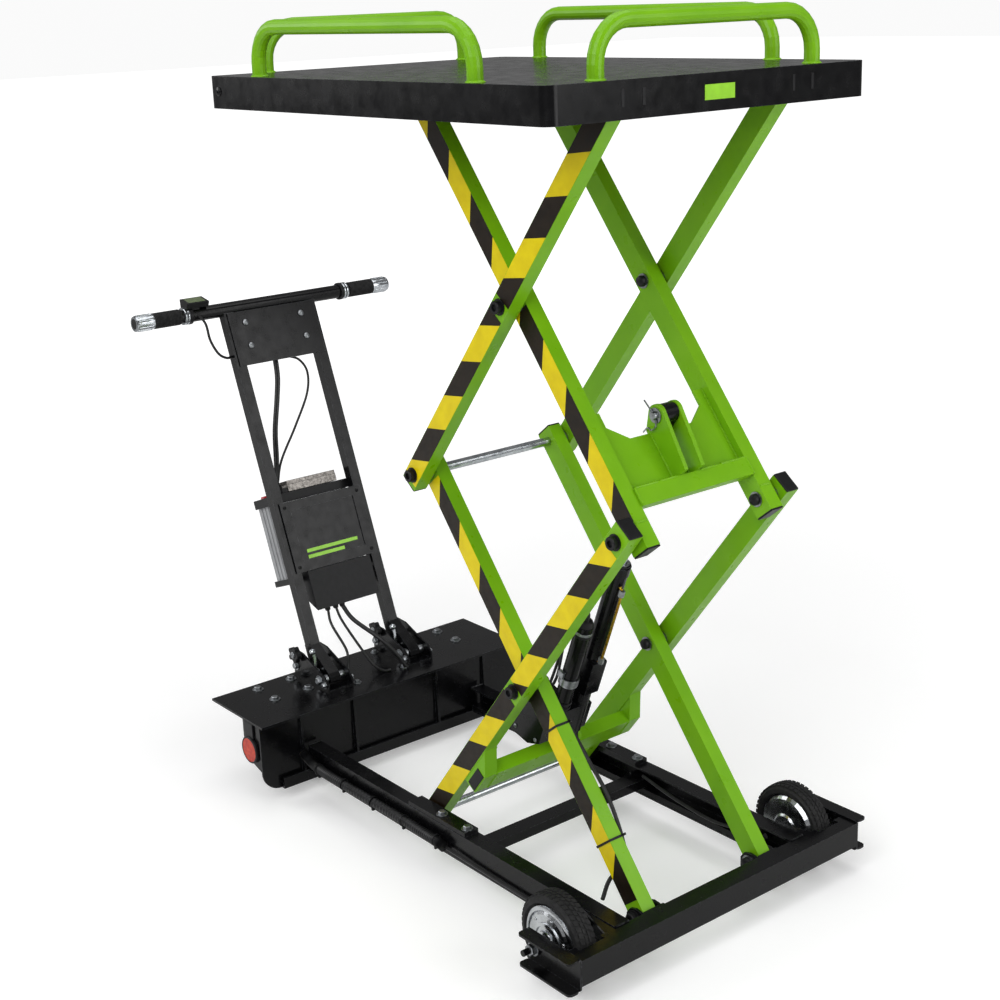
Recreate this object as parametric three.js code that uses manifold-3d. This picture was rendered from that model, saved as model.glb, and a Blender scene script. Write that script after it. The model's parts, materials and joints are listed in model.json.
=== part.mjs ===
// Scissor lift table on an electric two-wheel chassis, raised.
// Millimetres, +Z up, origin on the floor under the middle of the whole object's box.
// +X points to the hub wheels, -X to the steering handle, "near" is the -Y side and "far" the +Y side.
import * as THREE from "three";
import { mergeVertices } from "three/addons/utils/BufferGeometryUtils.js";
import Module from "manifold-3d";

const wasm = await Module();
wasm.setup();

// Scissor linkage: two stages of crossed arms, pin to pin length and rest angle above the horizontal.
const ARM_LENGTH = 920;
const REST_ANGLE = THREE.MathUtils.degToRad(51.56);
const PIVOT_X = 688;
const PIVOT_Z = 89;
const RUN = ARM_LENGTH * Math.cos(REST_ANGLE);
const RISE = ARM_LENGTH * Math.sin(REST_ANGLE);
const F0 = [PIVOT_X, PIVOT_Z];
const F1 = [PIVOT_X, PIVOT_Z + RISE];
const F2 = [PIVOT_X, PIVOT_Z + 2 * RISE];
const R0 = [PIVOT_X - RUN, PIVOT_Z];
const R1 = [PIVOT_X - RUN, PIVOT_Z + RISE];
const R2 = [PIVOT_X - RUN, PIVOT_Z + 2 * RISE];

const ARM_WIDTH = 42;
const OUTER_ARM = [176, 206];
const INNER_ARM = [136, 166];
const SHAFT_R = 9;
const BORE_R = 9.2;
const ROLLER_R = 19.7;

// Deck
const DECK_X = [-274, 726];
const DECK_HALF = 360;
const DECK_TOP = 1556;
const DECK_SKIRT = 60;
const SHEET = 3;
const HOOP_TUBE_R = 13.5;
const HOOP_TOP = 1657;
const HOOP_BEND = 65;

// Chassis
const RAIL_WEB = 246;
const RAIL_INNER = 211;
const RAIL_Z = [53, 113];
const RAIL_X = [-284, 714.9];
const CROSSBAR_X = [715, 755];
const CROSSBAR_Z = [61, 111];
const CROSSBAR_HALF = 358.7;
const WHEEL_X = 636;
const WHEEL_Z = 84;
const PANEL_X = -284;
const PLATE_X = [-501, -284];
const PLATE_Z = [185, 190];
const PLATE_HALF = 358;

// Handle, in its own leaning frame: s runs up the posts and n points to the front.
const HANDLE_FOOT = [-435.4, 200.1];
const HANDLE_LEAN = THREE.MathUtils.degToRad(20.43);
const FOLD_PIVOT = [-380, 208];
const POST_Y = 110;
const POST_SIZE = 25;
const BAR_S = 866.9;
const BAR_R = 16;
const BAR_HALF = 340;
const BRACKET_Y = 112;

// Actuator between the two crossbeams
const CLEVIS = [603, 979];
const BASE_PIN = [317, 266];
const CYLINDER_R = 18;
const CYLINDER_TOP = 437;
const ROD_R = 9;
const STROKE = 268;
const PIN_R = 6;

const GREEN = { color: 0x79b51c, roughness: 0.32, metalness: 0.0 };
const BLACK_PAINT = { color: 0x0b0b0d, roughness: 0.28, metalness: 0.1 };
const BLACK_PLASTIC = { color: 0x151517, roughness: 0.55, metalness: 0.0 };
const RUBBER = { color: 0x1a1a1b, roughness: 0.8, metalness: 0.0 };
const ALUMINIUM = { color: 0xb9bcbe, roughness: 0.3, metalness: 1.0 };
const CHROME = { color: 0xd6d9db, roughness: 0.12, metalness: 1.0 };
const GREY_ANODISED = { color: 0x9fa1a2, roughness: 0.45, metalness: 0.6 };
const LAMP_ORANGE = { color: 0xe0480f, roughness: 0.2, metalness: 0.0 };
const RED_PLASTIC = { color: 0xc2182b, roughness: 0.35, metalness: 0.0 };

const lift = new THREE.Group();
lift.name = "scissor_lift_table";

function solid(geometry) {
  const plain = geometry.index ? geometry.clone() : geometry;
  plain.deleteAttribute("normal");
  plain.deleteAttribute("uv");
  const merged = mergeVertices(plain, 1e-4);
  return new wasm.Manifold(
    new wasm.Mesh({
      numProp: 3,
      vertProperties: new Float32Array(merged.attributes.position.array),
      triVerts: new Uint32Array(merged.index.array),
    }),
  );
}

function geometryOf(body) {
  const mesh = body.getMesh();
  const geometry = new THREE.BufferGeometry();
  geometry.setAttribute("position", new THREE.BufferAttribute(new Float32Array(mesh.vertProperties), 3));
  geometry.setIndex(new THREE.BufferAttribute(new Uint32Array(mesh.triVerts), 1));
  geometry.computeVertexNormals();
  return geometry;
}

function addNode(name, body, finish) {
  const mesh = new THREE.Mesh(geometryOf(body), new THREE.MeshStandardMaterial(finish));
  mesh.name = name;
  lift.add(mesh);
}

function join(...bodies) {
  return bodies.reduce((sum, body) => sum.add(body));
}

function box([x0, x1], [y0, y1], [z0, z1]) {
  const block = new THREE.BoxGeometry(x1 - x0, y1 - y0, z1 - z0);
  block.translate((x0 + x1) / 2, (y0 + y1) / 2, (z0 + z1) / 2);
  return solid(block);
}

function outline(points) {
  return new THREE.Shape(points.map(([a, b]) => new THREE.Vector2(a, b)));
}

// A flat outline given in X and Z, thickened along Y.
function plateXZ(shape, y0, y1, curveSegments = 10) {
  const plate = new THREE.ExtrudeGeometry(shape, { depth: y1 - y0, bevelEnabled: false, curveSegments });
  plate.rotateX(Math.PI / 2);
  plate.translate(0, y1, 0);
  return solid(plate);
}

// A flat outline given in Y and Z, thickened along X.
function plateYZ(shape, x0, x1, curveSegments = 8) {
  const plate = new THREE.ExtrudeGeometry(shape, { depth: x1 - x0, bevelEnabled: false, curveSegments });
  plate.rotateX(Math.PI / 2);
  plate.rotateZ(Math.PI / 2);
  plate.translate(x0, 0, 0);
  return solid(plate);
}

// A flat outline given in X and Y, thickened along Z.
function plateXY(shape, z0, z1, curveSegments = 8) {
  const plate = new THREE.ExtrudeGeometry(shape, { depth: z1 - z0, bevelEnabled: false, curveSegments });
  plate.translate(0, 0, z0);
  return solid(plate);
}

function rodY([x, z], radius, y0, y1, segments = 20) {
  const rod = new THREE.CylinderGeometry(radius, radius, y1 - y0, segments);
  rod.translate(x, (y0 + y1) / 2, z);
  return solid(rod);
}

function rodZ([x, y], radius, z0, z1, segments = 20) {
  const rod = new THREE.CylinderGeometry(radius, radius, z1 - z0, segments);
  rod.rotateX(Math.PI / 2);
  rod.translate(x, y, (z0 + z1) / 2);
  return solid(rod);
}

// A closed profile of [radius, offset] pairs turned about an axis along Y.
function turnedY(profile, [x, z], y, segments = 40) {
  const turned = new THREE.LatheGeometry(profile.map(([r, a]) => new THREE.Vector2(r, a)), segments);
  turned.translate(x, y, z);
  const body = solid(turned);
  return body.volume() < 0 ? solid(flipped(turned)) : body;
}

function flipped(geometry) {
  const index = geometry.index.array;
  for (let i = 0; i < index.length; i += 3) {
    const held = index[i + 1];
    index[i + 1] = index[i + 2];
    index[i + 2] = held;
  }
  return geometry;
}

function roundedRect(x0, x1, y0, y1, radius) {
  const shape = new THREE.Shape();
  shape.moveTo(x0 + radius, y0);
  shape.lineTo(x1 - radius, y0);
  shape.absarc(x1 - radius, y0 + radius, radius, -Math.PI / 2, 0);
  shape.lineTo(x1, y1 - radius);
  shape.absarc(x1 - radius, y1 - radius, radius, 0, Math.PI / 2);
  shape.lineTo(x0 + radius, y1);
  shape.absarc(x0 + radius, y1 - radius, radius, Math.PI / 2, Math.PI);
  shape.lineTo(x0, y0 + radius);
  shape.absarc(x0 + radius, y0 + radius, radius, Math.PI, Math.PI * 1.5);
  return shape;
}

// The same span on the near side (-Y) or the far side (+Y).
function span(side, low, high) {
  return side < 0 ? [-high, -low] : [low, high];
}

function sideName(side) {
  return side < 0 ? "near" : "far";
}

// Scissor arms

// Straight bar between two pins. Round ends turn about their pin, square ends run on past it.
function armOutline([x0, z0], [x1, z1], startReach, endReach) {
  const angle = Math.atan2(z1 - z0, x1 - x0);
  const length = Math.hypot(x1 - x0, z1 - z0);
  const half = ARM_WIDTH / 2;
  const shape = new THREE.Shape();
  if (startReach > half) {
    shape.moveTo(-startReach, half);
    shape.lineTo(-startReach, -half);
  } else {
    shape.moveTo(0, half);
    shape.absarc(0, 0, half, Math.PI / 2, Math.PI * 1.5);
  }
  if (endReach > half) {
    shape.lineTo(length + endReach, -half);
    shape.lineTo(length + endReach, half);
  } else {
    shape.lineTo(length, -half);
    shape.absarc(length, 0, half, -Math.PI / 2, Math.PI / 2);
  }
  const points = shape.getPoints(8).map(({ x, y }) => [
    x0 + x * Math.cos(angle) - y * Math.sin(angle),
    z0 + x * Math.sin(angle) + y * Math.cos(angle),
  ]);
  return outline(points);
}

function addArm(name, side, layer, start, end, startReach, endReach, bores) {
  const [y0, y1] = span(side, ...layer);
  let arm = plateXZ(armOutline(start, end, startReach, endReach), y0, y1);
  for (const pin of bores) {
    arm = arm.subtract(rodY(pin, BORE_R, y0 - 5, y1 + 5));
  }
  return { name: `${name}_${sideName(side)}`, arm, side };
}

function addArms() {
  const ROUND = 0;
  const SQUARE = 30;
  const CORNER = 24;
  for (const side of [-1, 1]) {
    const lowerInner = addArm("lower_inner_arm", side, INNER_ARM, F0, R1, ROUND, CORNER, [R1]);
    const lowerOuter = addArm("lower_outer_arm", side, OUTER_ARM, R0, F1, ROUND, SQUARE, [R0]);
    const upperInner = addArm("upper_inner_arm", side, INNER_ARM, F1, R2, SQUARE, ROUND, []);
    const upperOuter = addArm("upper_outer_arm", side, OUTER_ARM, R1, F2, CORNER, ROUND, [R1]);
    const stub = rodY(R2, SHAFT_R, ...span(side, 160, 194));
    upperInner.arm = join(upperInner.arm, stub);
    for (const { name, arm } of [lowerInner, lowerOuter, upperInner, upperOuter]) {
      addNode(name, arm, GREEN);
    }
  }
}

// A point measured along a lower outer arm from R0 and square to it, on the front lower side.
function onLowerArm(along, square) {
  const u = [Math.cos(REST_ANGLE), Math.sin(REST_ANGLE)];
  return [R0[0] + along * u[0] + square * u[1], R0[1] + along * u[1] - square * u[0]];
}

// A point measured along an upper inner arm from F1 and square to it, on the front upper side.
function onUpperArm(along, square) {
  const u = [-Math.cos(REST_ANGLE), Math.sin(REST_ANGLE)];
  return [F1[0] + along * u[0] + square * u[1], F1[1] + along * u[1] - square * u[0]];
}

// A flat outline in [along, y] lying square to an upper inner arm, thickened from n0 to n1.
function plateOnUpperArm(points, n0, n1) {
  const plate = new THREE.ExtrudeGeometry(outline(points), { depth: n1 - n0, bevelEnabled: false });
  const along = new THREE.Vector3(-Math.cos(REST_ANGLE), 0, Math.sin(REST_ANGLE));
  const across = new THREE.Vector3(0, 1, 0);
  const back = new THREE.Vector3().crossVectors(along, across);
  plate.translate(0, 0, -n1);
  plate.applyMatrix4(new THREE.Matrix4().makeBasis(along, across, back).setPosition(F1[0], 0, F1[1]));
  return solid(plate);
}

function lug(root, eye, radius, y0, y1) {
  const disc = rodY(eye, radius, y0, y1);
  return join(plateXZ(outline(root), y0, y1), disc);
}

function addCrossbeams() {
  const lowerSection = [[176, 28], [233, 28], [233, 56], [176, 56]].map((p) => onLowerArm(...p));
  const wedge = [[172, 21.2], [176, 55], [233, 55], [280, 21.2]].map((p) => onLowerArm(...p));
  let lower = join(plateXZ(outline(lowerSection), -206, 206), rodY(BASE_PIN, PIN_R, -24, 24));
  for (const side of [-1, 1]) {
    const root = [[230, 30], [230, 56], [264, 62], [264, 33]].map((p) => onLowerArm(...p));
    lower = join(
      lower,
      plateXZ(outline(wedge), ...span(side, 176, 206)),
      lug(root, BASE_PIN, 15, ...span(side, 12, 20)),
    );
  }
  addNode("lower_crossbeam", lower, GREEN);

  const upperSection = [[40, 5], [74, 5], [74, 25], [40, 25]].map((p) => onUpperArm(...p));
  const farEdge = [[168, 75], [197, 114], [226, 114], [226, 135.8]];
  const nearEdge = farEdge.map(([along, y]) => [along, -y]).reverse();
  const slot = [[168, -19.6], [88, -19.6], [88, 12], [168, 12]];
  let upper = join(
    plateXZ(outline(upperSection), -135.8, 135.8),
    plateOnUpperArm([[70, 135.8], [70, -135.8], ...nearEdge, ...slot, ...farEdge], 0, 5),
  );
  const root = [[72, 0], [76, 42], [178, 57], [197.6, 23.5], [176, -1], [165, -1]].map((p) => onUpperArm(...p));
  for (const [y0, y1] of [[-28, -20], [12, 20]]) {
    upper = upper.add(lug(root, CLEVIS, 19.5, y0, y1));
  }
  addNode("upper_crossbeam", upper, GREEN);
}

function addShafts() {
  addNode("tie_shaft_bottom", rodY(R0, SHAFT_R, -240, 240), CHROME);
  addNode("tie_shaft_middle", rodY(R1, SHAFT_R, -214, 214), CHROME);
}

function addRollers() {
  for (const side of [-1, 1]) {
    for (const [name, pin, near, far] of [["chassis_roller", R0, 212.5, 238], ["deck_roller", R2, 170, 192]]) {
      const [y0, y1] = span(side, near, far);
      const roller = rodY(pin, ROLLER_R, y0, y1, 32).subtract(rodY(pin, SHAFT_R + 0.3, y0 - 2, y1 + 2, 32));
      addNode(`${name}_${sideName(side)}`, roller, BLACK_PLASTIC);
    }
  }
}

// Actuator, in its own frame: d along the cylinder from the base pin, m square to it on the front side.
function addActuator() {
  const length = Math.hypot(CLEVIS[0] - BASE_PIN[0], CLEVIS[1] - BASE_PIN[1]);
  const e = [(CLEVIS[0] - BASE_PIN[0]) / length, (CLEVIS[1] - BASE_PIN[1]) / length];
  const at = (d, m) => [BASE_PIN[0] + d * e[0] + m * e[1], BASE_PIN[1] + d * e[1] - m * e[0]];
  const tilt = Math.atan2(e[0], e[1]);

  function alongAxis(radius, d0, d1, y, m = 0, segments = 24) {
    const rod = new THREE.CylinderGeometry(radius, radius, d1 - d0, segments);
    rod.rotateX(Math.PI / 2);
    rod.rotateY(tilt);
    const [x, z] = at((d0 + d1) / 2, m);
    rod.translate(x, y, z);
    return solid(rod);
  }

  const rodStart = STROKE + 34;
  const bore = alongAxis(ROD_R + 0.4, 28, CYLINDER_TOP + 5, 0);
  const gearbox = outline([at(1, -66), at(7, -14), at(29, 16), at(95, 16), at(95, -66)]);
  const link = outline([at(32, -30), at(32, 16), at(95, 16), at(95, -30)]);
  const boss = outline([at(121, -18), at(213, -18), at(207, 22), at(129, 22)]);
  const body = join(
    alongAxis(CYLINDER_R, 24, CYLINDER_TOP, 0),
    alongAxis(CYLINDER_R + 2, CYLINDER_TOP - 24, CYLINDER_TOP - 4, 0),
    plateXZ(boss, -18, 18),
    plateXZ(gearbox, -100, -21),
    plateXZ(link, -22, 18),
    plateXZ(outline([at(0, -11), at(34, -11), at(34, 11), at(0, 11)]), -11.4, 11.4),
    rodY(BASE_PIN, 13, -11.4, 11.4),
  ).subtract(bore).subtract(rodY(BASE_PIN, PIN_R + 0.3, -15, 15));
  addNode("actuator_body", body, BLACK_PAINT);
  addNode("actuator_motor", alongAxis(17, 95.2, 303, -50), BLACK_PAINT);

  const eye = outline([at(length - 34, -10), at(length, -17), at(length, 17), at(length - 34, 10)]);
  const rod = join(
    alongAxis(ROD_R, rodStart, length - 12, 0),
    plateXZ(eye, -11, 11),
    rodY(CLEVIS, 18, -19, 11),
  );
  addNode("actuator_rod", rod, BLACK_PAINT);
}

// Deck

function addDeck() {
  const pan = plateXY(roundedRect(...DECK_X, -DECK_HALF, DECK_HALF, 20), DECK_TOP - DECK_SKIRT, DECK_TOP);
  const hollow = roundedRect(
    DECK_X[0] + SHEET, DECK_X[1] - SHEET, -DECK_HALF + SHEET, DECK_HALF - SHEET, 20 - SHEET);
  addNode("deck_pan", pan.subtract(plateXY(hollow, DECK_TOP - DECK_SKIRT - 1, DECK_TOP - SHEET)), BLACK_PAINT);

  const under = DECK_TOP - SHEET - 0.1;
  for (const side of [-1, 1]) {
    const channel = outline([
      [168, R2[1] - 24.5], [200, R2[1] - 24.5], [200, under], [168, under], [168, under - 3],
      [196, under - 3], [196, R2[1] - 20.3], [168, R2[1] - 20.3],
    ].map(([y, z]) => [y * side, z]));
    addNode(`deck_channel_${sideName(side)}`, plateYZ(channel, -262, 150), BLACK_PAINT);

    const cheek = outline([[660, under], [715, under], [715, F2[1] - 21], [672, F2[1] - 21], [660, F2[1] - 8]]);
    const lugs = join(
      plateXZ(cheek, ...span(side, 169, 174)),
      plateXZ(cheek, ...span(side, 208, 213)),
      box([711, 715], span(side, 169, 213), [F2[1] - 21, under]),
    );
    addNode(`deck_lug_${sideName(side)}`, lugs, BLACK_PAINT);
  }
}

// A round tube along points that all lie in one upright plane running towards [dx, dy].
function uprightTube(points, [dx, dy], radius, sides = 16) {
  const vertices = [];
  const faces = [];
  const across = new THREE.Vector3(-dy, dx, 0);
  points.forEach((point, i) => {
    const before = points[Math.max(i - 1, 0)];
    const after = points[Math.min(i + 1, points.length - 1)];
    const along = new THREE.Vector3().subVectors(after, before).normalize();
    const outward = new THREE.Vector3().crossVectors(along, across);
    for (let k = 0; k < sides; k += 1) {
      const angle = (k / sides) * Math.PI * 2;
      const p = point.clone()
        .addScaledVector(across, radius * Math.cos(angle))
        .addScaledVector(outward, radius * Math.sin(angle));
      vertices.push(p.x, p.y, p.z);
    }
  });
  for (let i = 0; i + 1 < points.length; i += 1) {
    for (let k = 0; k < sides; k += 1) {
      const a = i * sides + k;
      const b = i * sides + ((k + 1) % sides);
      faces.push(a, b + sides, b, a, a + sides, b + sides);
    }
  }
  const last = (points.length - 1) * sides;
  for (let k = 1; k + 1 < sides; k += 1) {
    faces.push(0, k, k + 1, last, last + k + 1, last + k);
  }
  const tube = new THREE.BufferGeometry();
  tube.setAttribute("position", new THREE.BufferAttribute(new Float32Array(vertices), 3));
  tube.setIndex(faces);
  const body = solid(tube);
  return body.volume() < 0 ? solid(flipped(tube)) : body;
}

// A tube hoop standing on the deck at [x0, y0] and [x1, y1].
function hoop([x0, y0], [x1, y1]) {
  const top = HOOP_TOP - HOOP_TUBE_R;
  const length = Math.hypot(x1 - x0, y1 - y0);
  const heading = [(x1 - x0) / length, (y1 - y0) / length];
  const point = (run, z) => new THREE.Vector3(x0 + heading[0] * run, y0 + heading[1] * run, z);
  const rising = [[0, DECK_TOP + 0.1]];
  for (let step = 0; step <= 7; step += 1) {
    const angle = (step / 7) * (Math.PI / 2);
    rising.push([HOOP_BEND * (1 - Math.cos(angle)), top - HOOP_BEND * (1 - Math.sin(angle))]);
  }
  const falling = rising.map(([run, z]) => [length - run, z]).reverse();
  return uprightTube([...rising, ...falling].map(([run, z]) => point(run, z)), heading, HOOP_TUBE_R);
}

function addHoops() {
  addNode("hoop_near", hoop([-118, -338], [529, -338]), GREEN);
  addNode("hoop_far", hoop([-118, 338], [529, 338]), GREEN);
  addNode("hoop_front", hoop([703, -244], [703, 244]), GREEN);
  addNode("hoop_rear", hoop([-252, -241], [-252, 241]), GREEN);
}

// Chassis

function addRails() {
  for (const side of [-1, 1]) {
    const [z0, z1] = RAIL_Z;
    const section = outline([
      [RAIL_INNER, z0], [RAIL_WEB, z0], [RAIL_WEB, z1], [RAIL_INNER, z1], [RAIL_INNER, z1 - 4],
      [RAIL_WEB - 4, z1 - 4], [RAIL_WEB - 4, z0 + 16], [RAIL_INNER + 1, z0 + 16], [RAIL_INNER + 1, z0 + 4],
      [RAIL_INNER, z0 + 4],
    ].map(([y, z]) => [y * side, z]));
    const stop = box([95, 282], span(side, RAIL_INNER, RAIL_WEB - 1), [z1 - 1, z1 + 9]);
    const hole = rodY([WHEEL_X, WHEEL_Z], 6.3, ...span(side, 205, 255));
    const rail = join(plateYZ(section, ...RAIL_X), stop).subtract(hole);
    addNode(`rail_${sideName(side)}`, rail, BLACK_PAINT);
  }
}

function addFrontCrossbar() {
  const [x0, x1] = CROSSBAR_X;
  const [z0, z1] = CROSSBAR_Z;
  const section = outline([
    [x0, z0], [x1, z0], [x1, z1], [x0, z1], [x0, z1 - 4], [x1 - 4, z1 - 4], [x1 - 4, z0 + 4], [x0, z0 + 4],
  ]);
  let bar = plateXZ(section, -CROSSBAR_HALF, CROSSBAR_HALF);
  for (const side of [-1, 1]) {
    bar = bar.subtract(box([x0 - 5, 727], span(side, 280, 338), [z0 - 1, z1 + 1]));
    const cheek = outline([
      [716, z0], [676, z0], [667, 72], [667, 92], [676, 104], [690, 108], [704, 106], [716, 100],
    ]);
    bar = join(
      bar,
      plateXZ(cheek, ...span(side, 124, 129)),
      plateXZ(cheek, ...span(side, 168, 173)),
      box([711, 716], span(side, 124, 173), [z0, z1]),
    );
    const corner = outline([[716, RAIL_WEB + 0.4], [716, 270], [634, RAIL_WEB + 0.4]].map(([x, y]) => [x, y * side]));
    bar = bar.add(plateXY(corner, z1 - 4, z1));
  }
  addNode("front_crossbar", bar, BLACK_PAINT);
  addNode("mid_crossmember", box([268, 306], [-241.8, 241.8], [71, 91]), BLACK_PAINT);
}

function addAxleBrackets() {
  for (const side of [-1, 1]) {
    const web = plateXZ(roundedRect(612, 755, 51, 115, 6), ...span(side, 359, 363), 4);
    const slot = box([600, WHEEL_X], span(side, 350, 370), [WHEEL_Z - 6.2, WHEEL_Z + 6.2]);
    const flangeShape = roundedRect(616, 755, 0, 25.5, 9);
    const flanges = [[51, 55], [111, 115]].map(([z0, z1]) => {
      const flange = plateXY(flangeShape, z0, z1, 4);
      return side < 0
        ? flange.mirror([0, 1, 0]).translate([0, -362.5, 0])
        : flange.translate([0, 362.5, 0]);
    });
    const axle = rodY([WHEEL_X, WHEEL_Z], 6, ...span(side, 228, 392));
    const seat = rodY([WHEEL_X, WHEEL_Z], 13, ...span(side, 362.5, 366));
    const inner = rodY([WHEEL_X, WHEEL_Z], 9, ...span(side, 246.2, 252));
    const bracket = join(web.subtract(slot), ...flanges, axle, seat, inner);
    addNode(`axle_bracket_${sideName(side)}`, bracket, BLACK_PAINT);
  }
}

function addHubWheels() {
  const cover = [
    [6.4, 281], [24, 281], [28, 284], [58, 286], [64, 292], [66, 296], [66, 324], [64, 328], [56, 330],
    [50, 334], [30, 336], [26, 337], [6.4, 337],
  ];
  const tyre = [
    [66.2, 292], [70, 287], [77, 287.5], [82, 293], [84, 302], [84, 314], [82, 323], [77, 329.5], [70, 331],
    [66.2, 326],
  ];
  for (const side of [-1, 1]) {
    const turned = (profile) => {
      const sided = profile.map(([r, y]) => [r, y * side]);
      return turnedY([...sided, sided[0]], [WHEEL_X, WHEEL_Z], 0, 32);
    };
    addNode(`hub_${sideName(side)}`, turned(cover), ALUMINIUM);
    addNode(`tyre_${sideName(side)}`, turned(tyre), RUBBER);
  }
}

function addRearBox() {
  const [x0, x1] = PLATE_X;
  const corner = 45;
  const face = new THREE.Shape();
  face.moveTo(-PLATE_HALF, PLATE_Z[0]);
  face.lineTo(-PLATE_HALF, 30 + corner);
  face.absarc(-PLATE_HALF + corner, 30 + corner, corner, Math.PI, Math.PI * 1.5);
  face.lineTo(PLATE_HALF - corner, 30);
  face.absarc(PLATE_HALF - corner, 30 + corner, corner, -Math.PI / 2, 0);
  face.lineTo(PLATE_HALF, PLATE_Z[0]);
  let rear = join(
    box([x0, x1], [-PLATE_HALF, PLATE_HALF], PLATE_Z),
    plateYZ(face, PANEL_X - 16, PANEL_X - 12),
    box([PANEL_X - 16, PANEL_X - 0.2], [-PLATE_HALF + corner, PLATE_HALF - corner], [30, 34]),
    box([PANEL_X - 6, PANEL_X - 0.2], [-PLATE_HALF + corner, PLATE_HALF - corner], [33, 55]),
  );
  const rib = outline([
    [PANEL_X - 14, 33], [PANEL_X - 0.2, 33], [PANEL_X - 6, PLATE_Z[0] + 1], [PANEL_X - 14, PLATE_Z[0] + 1],
  ]);
  for (const y of [-255, -115, 115, 255]) {
    rear = rear.add(plateXZ(rib, y - 2.5, y + 2.5));
  }
  const gusset = outline([[PANEL_X - 13, PLATE_Z[0] + 1], [-374, PLATE_Z[0] + 1], [-374, 96], [PANEL_X - 14, 72]]);
  for (const side of [-1, 1]) {
    rear = rear.add(plateXZ(gusset, ...span(side, 350, 354)));
  }
  addNode("rear_box", rear, BLACK_PAINT);

  for (const side of [-1, 1]) {
    const lamp = rodY([-343, 119], 27, ...span(side, 354.1, 361), 32);
    addNode(`side_lamp_${sideName(side)}`, lamp, LAMP_ORANGE);
  }
}

// Swivel casters under the rear box, set back from their kingpins.
function addCasters() {
  const KINGPIN_X = -435;
  const TRAIL = 36;
  const CASTER_R = 70;
  for (const side of [-1, 1]) {
    const y = side * 211;
    const axle = [KINGPIN_X + TRAIL, CASTER_R];
    const cheek = outline([
      [axle[0] - 12, axle[1] - 12], [axle[0] + 12, axle[1] - 12], [axle[0] + 14, axle[1] + 10],
      [KINGPIN_X + 34, 160], [KINGPIN_X - 34, 160],
    ]);
    const fork = join(
      rodZ([KINGPIN_X, y], 40, 168, 178),
      rodZ([KINGPIN_X, y], 14, 166, 184.8),
      box([KINGPIN_X - 36, KINGPIN_X + 36], [y - 29, y + 29], [159, 169]),
      plateXZ(cheek, y - 29, y - 25),
      plateXZ(cheek, y + 25, y + 29),
      rodY(axle, 6, y - 32, y + 32),
    );
    const wheel = rodY(axle, CASTER_R, y - 19, y + 19, 40).subtract(rodY(axle, 6.3, y - 30, y + 30));
    addNode(`caster_fork_${sideName(side)}`, fork, CHROME);
    addNode(`caster_wheel_${sideName(side)}`, wheel, RUBBER);
  }
}

// Handle

function onHandle(s, n) {
  const lean = [Math.sin(HANDLE_LEAN), Math.cos(HANDLE_LEAN)];
  return [HANDLE_FOOT[0] - s * lean[0] + n * lean[1], HANDLE_FOOT[1] + s * lean[1] + n * lean[0]];
}

function handlePlate(s0, s1, n0, n1, y0, y1) {
  return plateXZ(outline([onHandle(s0, n0), onHandle(s0, n1), onHandle(s1, n1), onHandle(s1, n0)]), y0, y1);
}

function addFoldBrackets() {
  const KNOB = [-464, 250];
  for (const side of [-1, 1]) {
    const y = side * BRACKET_Y;
    const cheek = outline([
      [-488, 190.1], [-345, 190.1], [-345, 206], [-362, 224], [-380, 228], [-446, 254], [-478, 256],
      [-488, 244],
    ]);
    const bracket = join(
      plateXZ(cheek, y - 34, y - 30),
      plateXZ(cheek, y + 30, y + 34),
      box([-366, -345], [y - 34, y + 34], [190.1, 192.6]),
      rodY(FOLD_PIVOT, 6, y - 40, y + 40),
      rodY([-478, 216], 5, y - 38, y + 38),
    );
    addNode(`fold_bracket_${sideName(side)}`, bracket, BLACK_PAINT);

    const lever = join(
      rodY([-413, 216], 8, y - 28, y - 16),
      plateXZ(outline([[-416.5, 216], [-409.5, 216], [-417, 262], [-423, 262]]), y - 25, y - 19),
      solid(new THREE.SphereGeometry(7.5, 14, 8).translate(-420, y - 23.5, 264)),
    );
    addNode(`lock_lever_${sideName(side)}`, lever, CHROME);

    const lobes = [0, 1, 2, 3, 4].map((k) => {
      const angle = (k / 5) * Math.PI * 2;
      return rodY([KNOB[0] + 14 * Math.cos(angle), KNOB[1] + 14 * Math.sin(angle)], 6, y - 50, y - 38, 10);
    });
    const knob = join(rodY(KNOB, 14, y - 50, y - 36), rodY(KNOB, 6, y - 38, y - 34.2), ...lobes);
    addNode(`star_knob_${sideName(side)}`, knob, BLACK_PLASTIC);
  }
}

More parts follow.
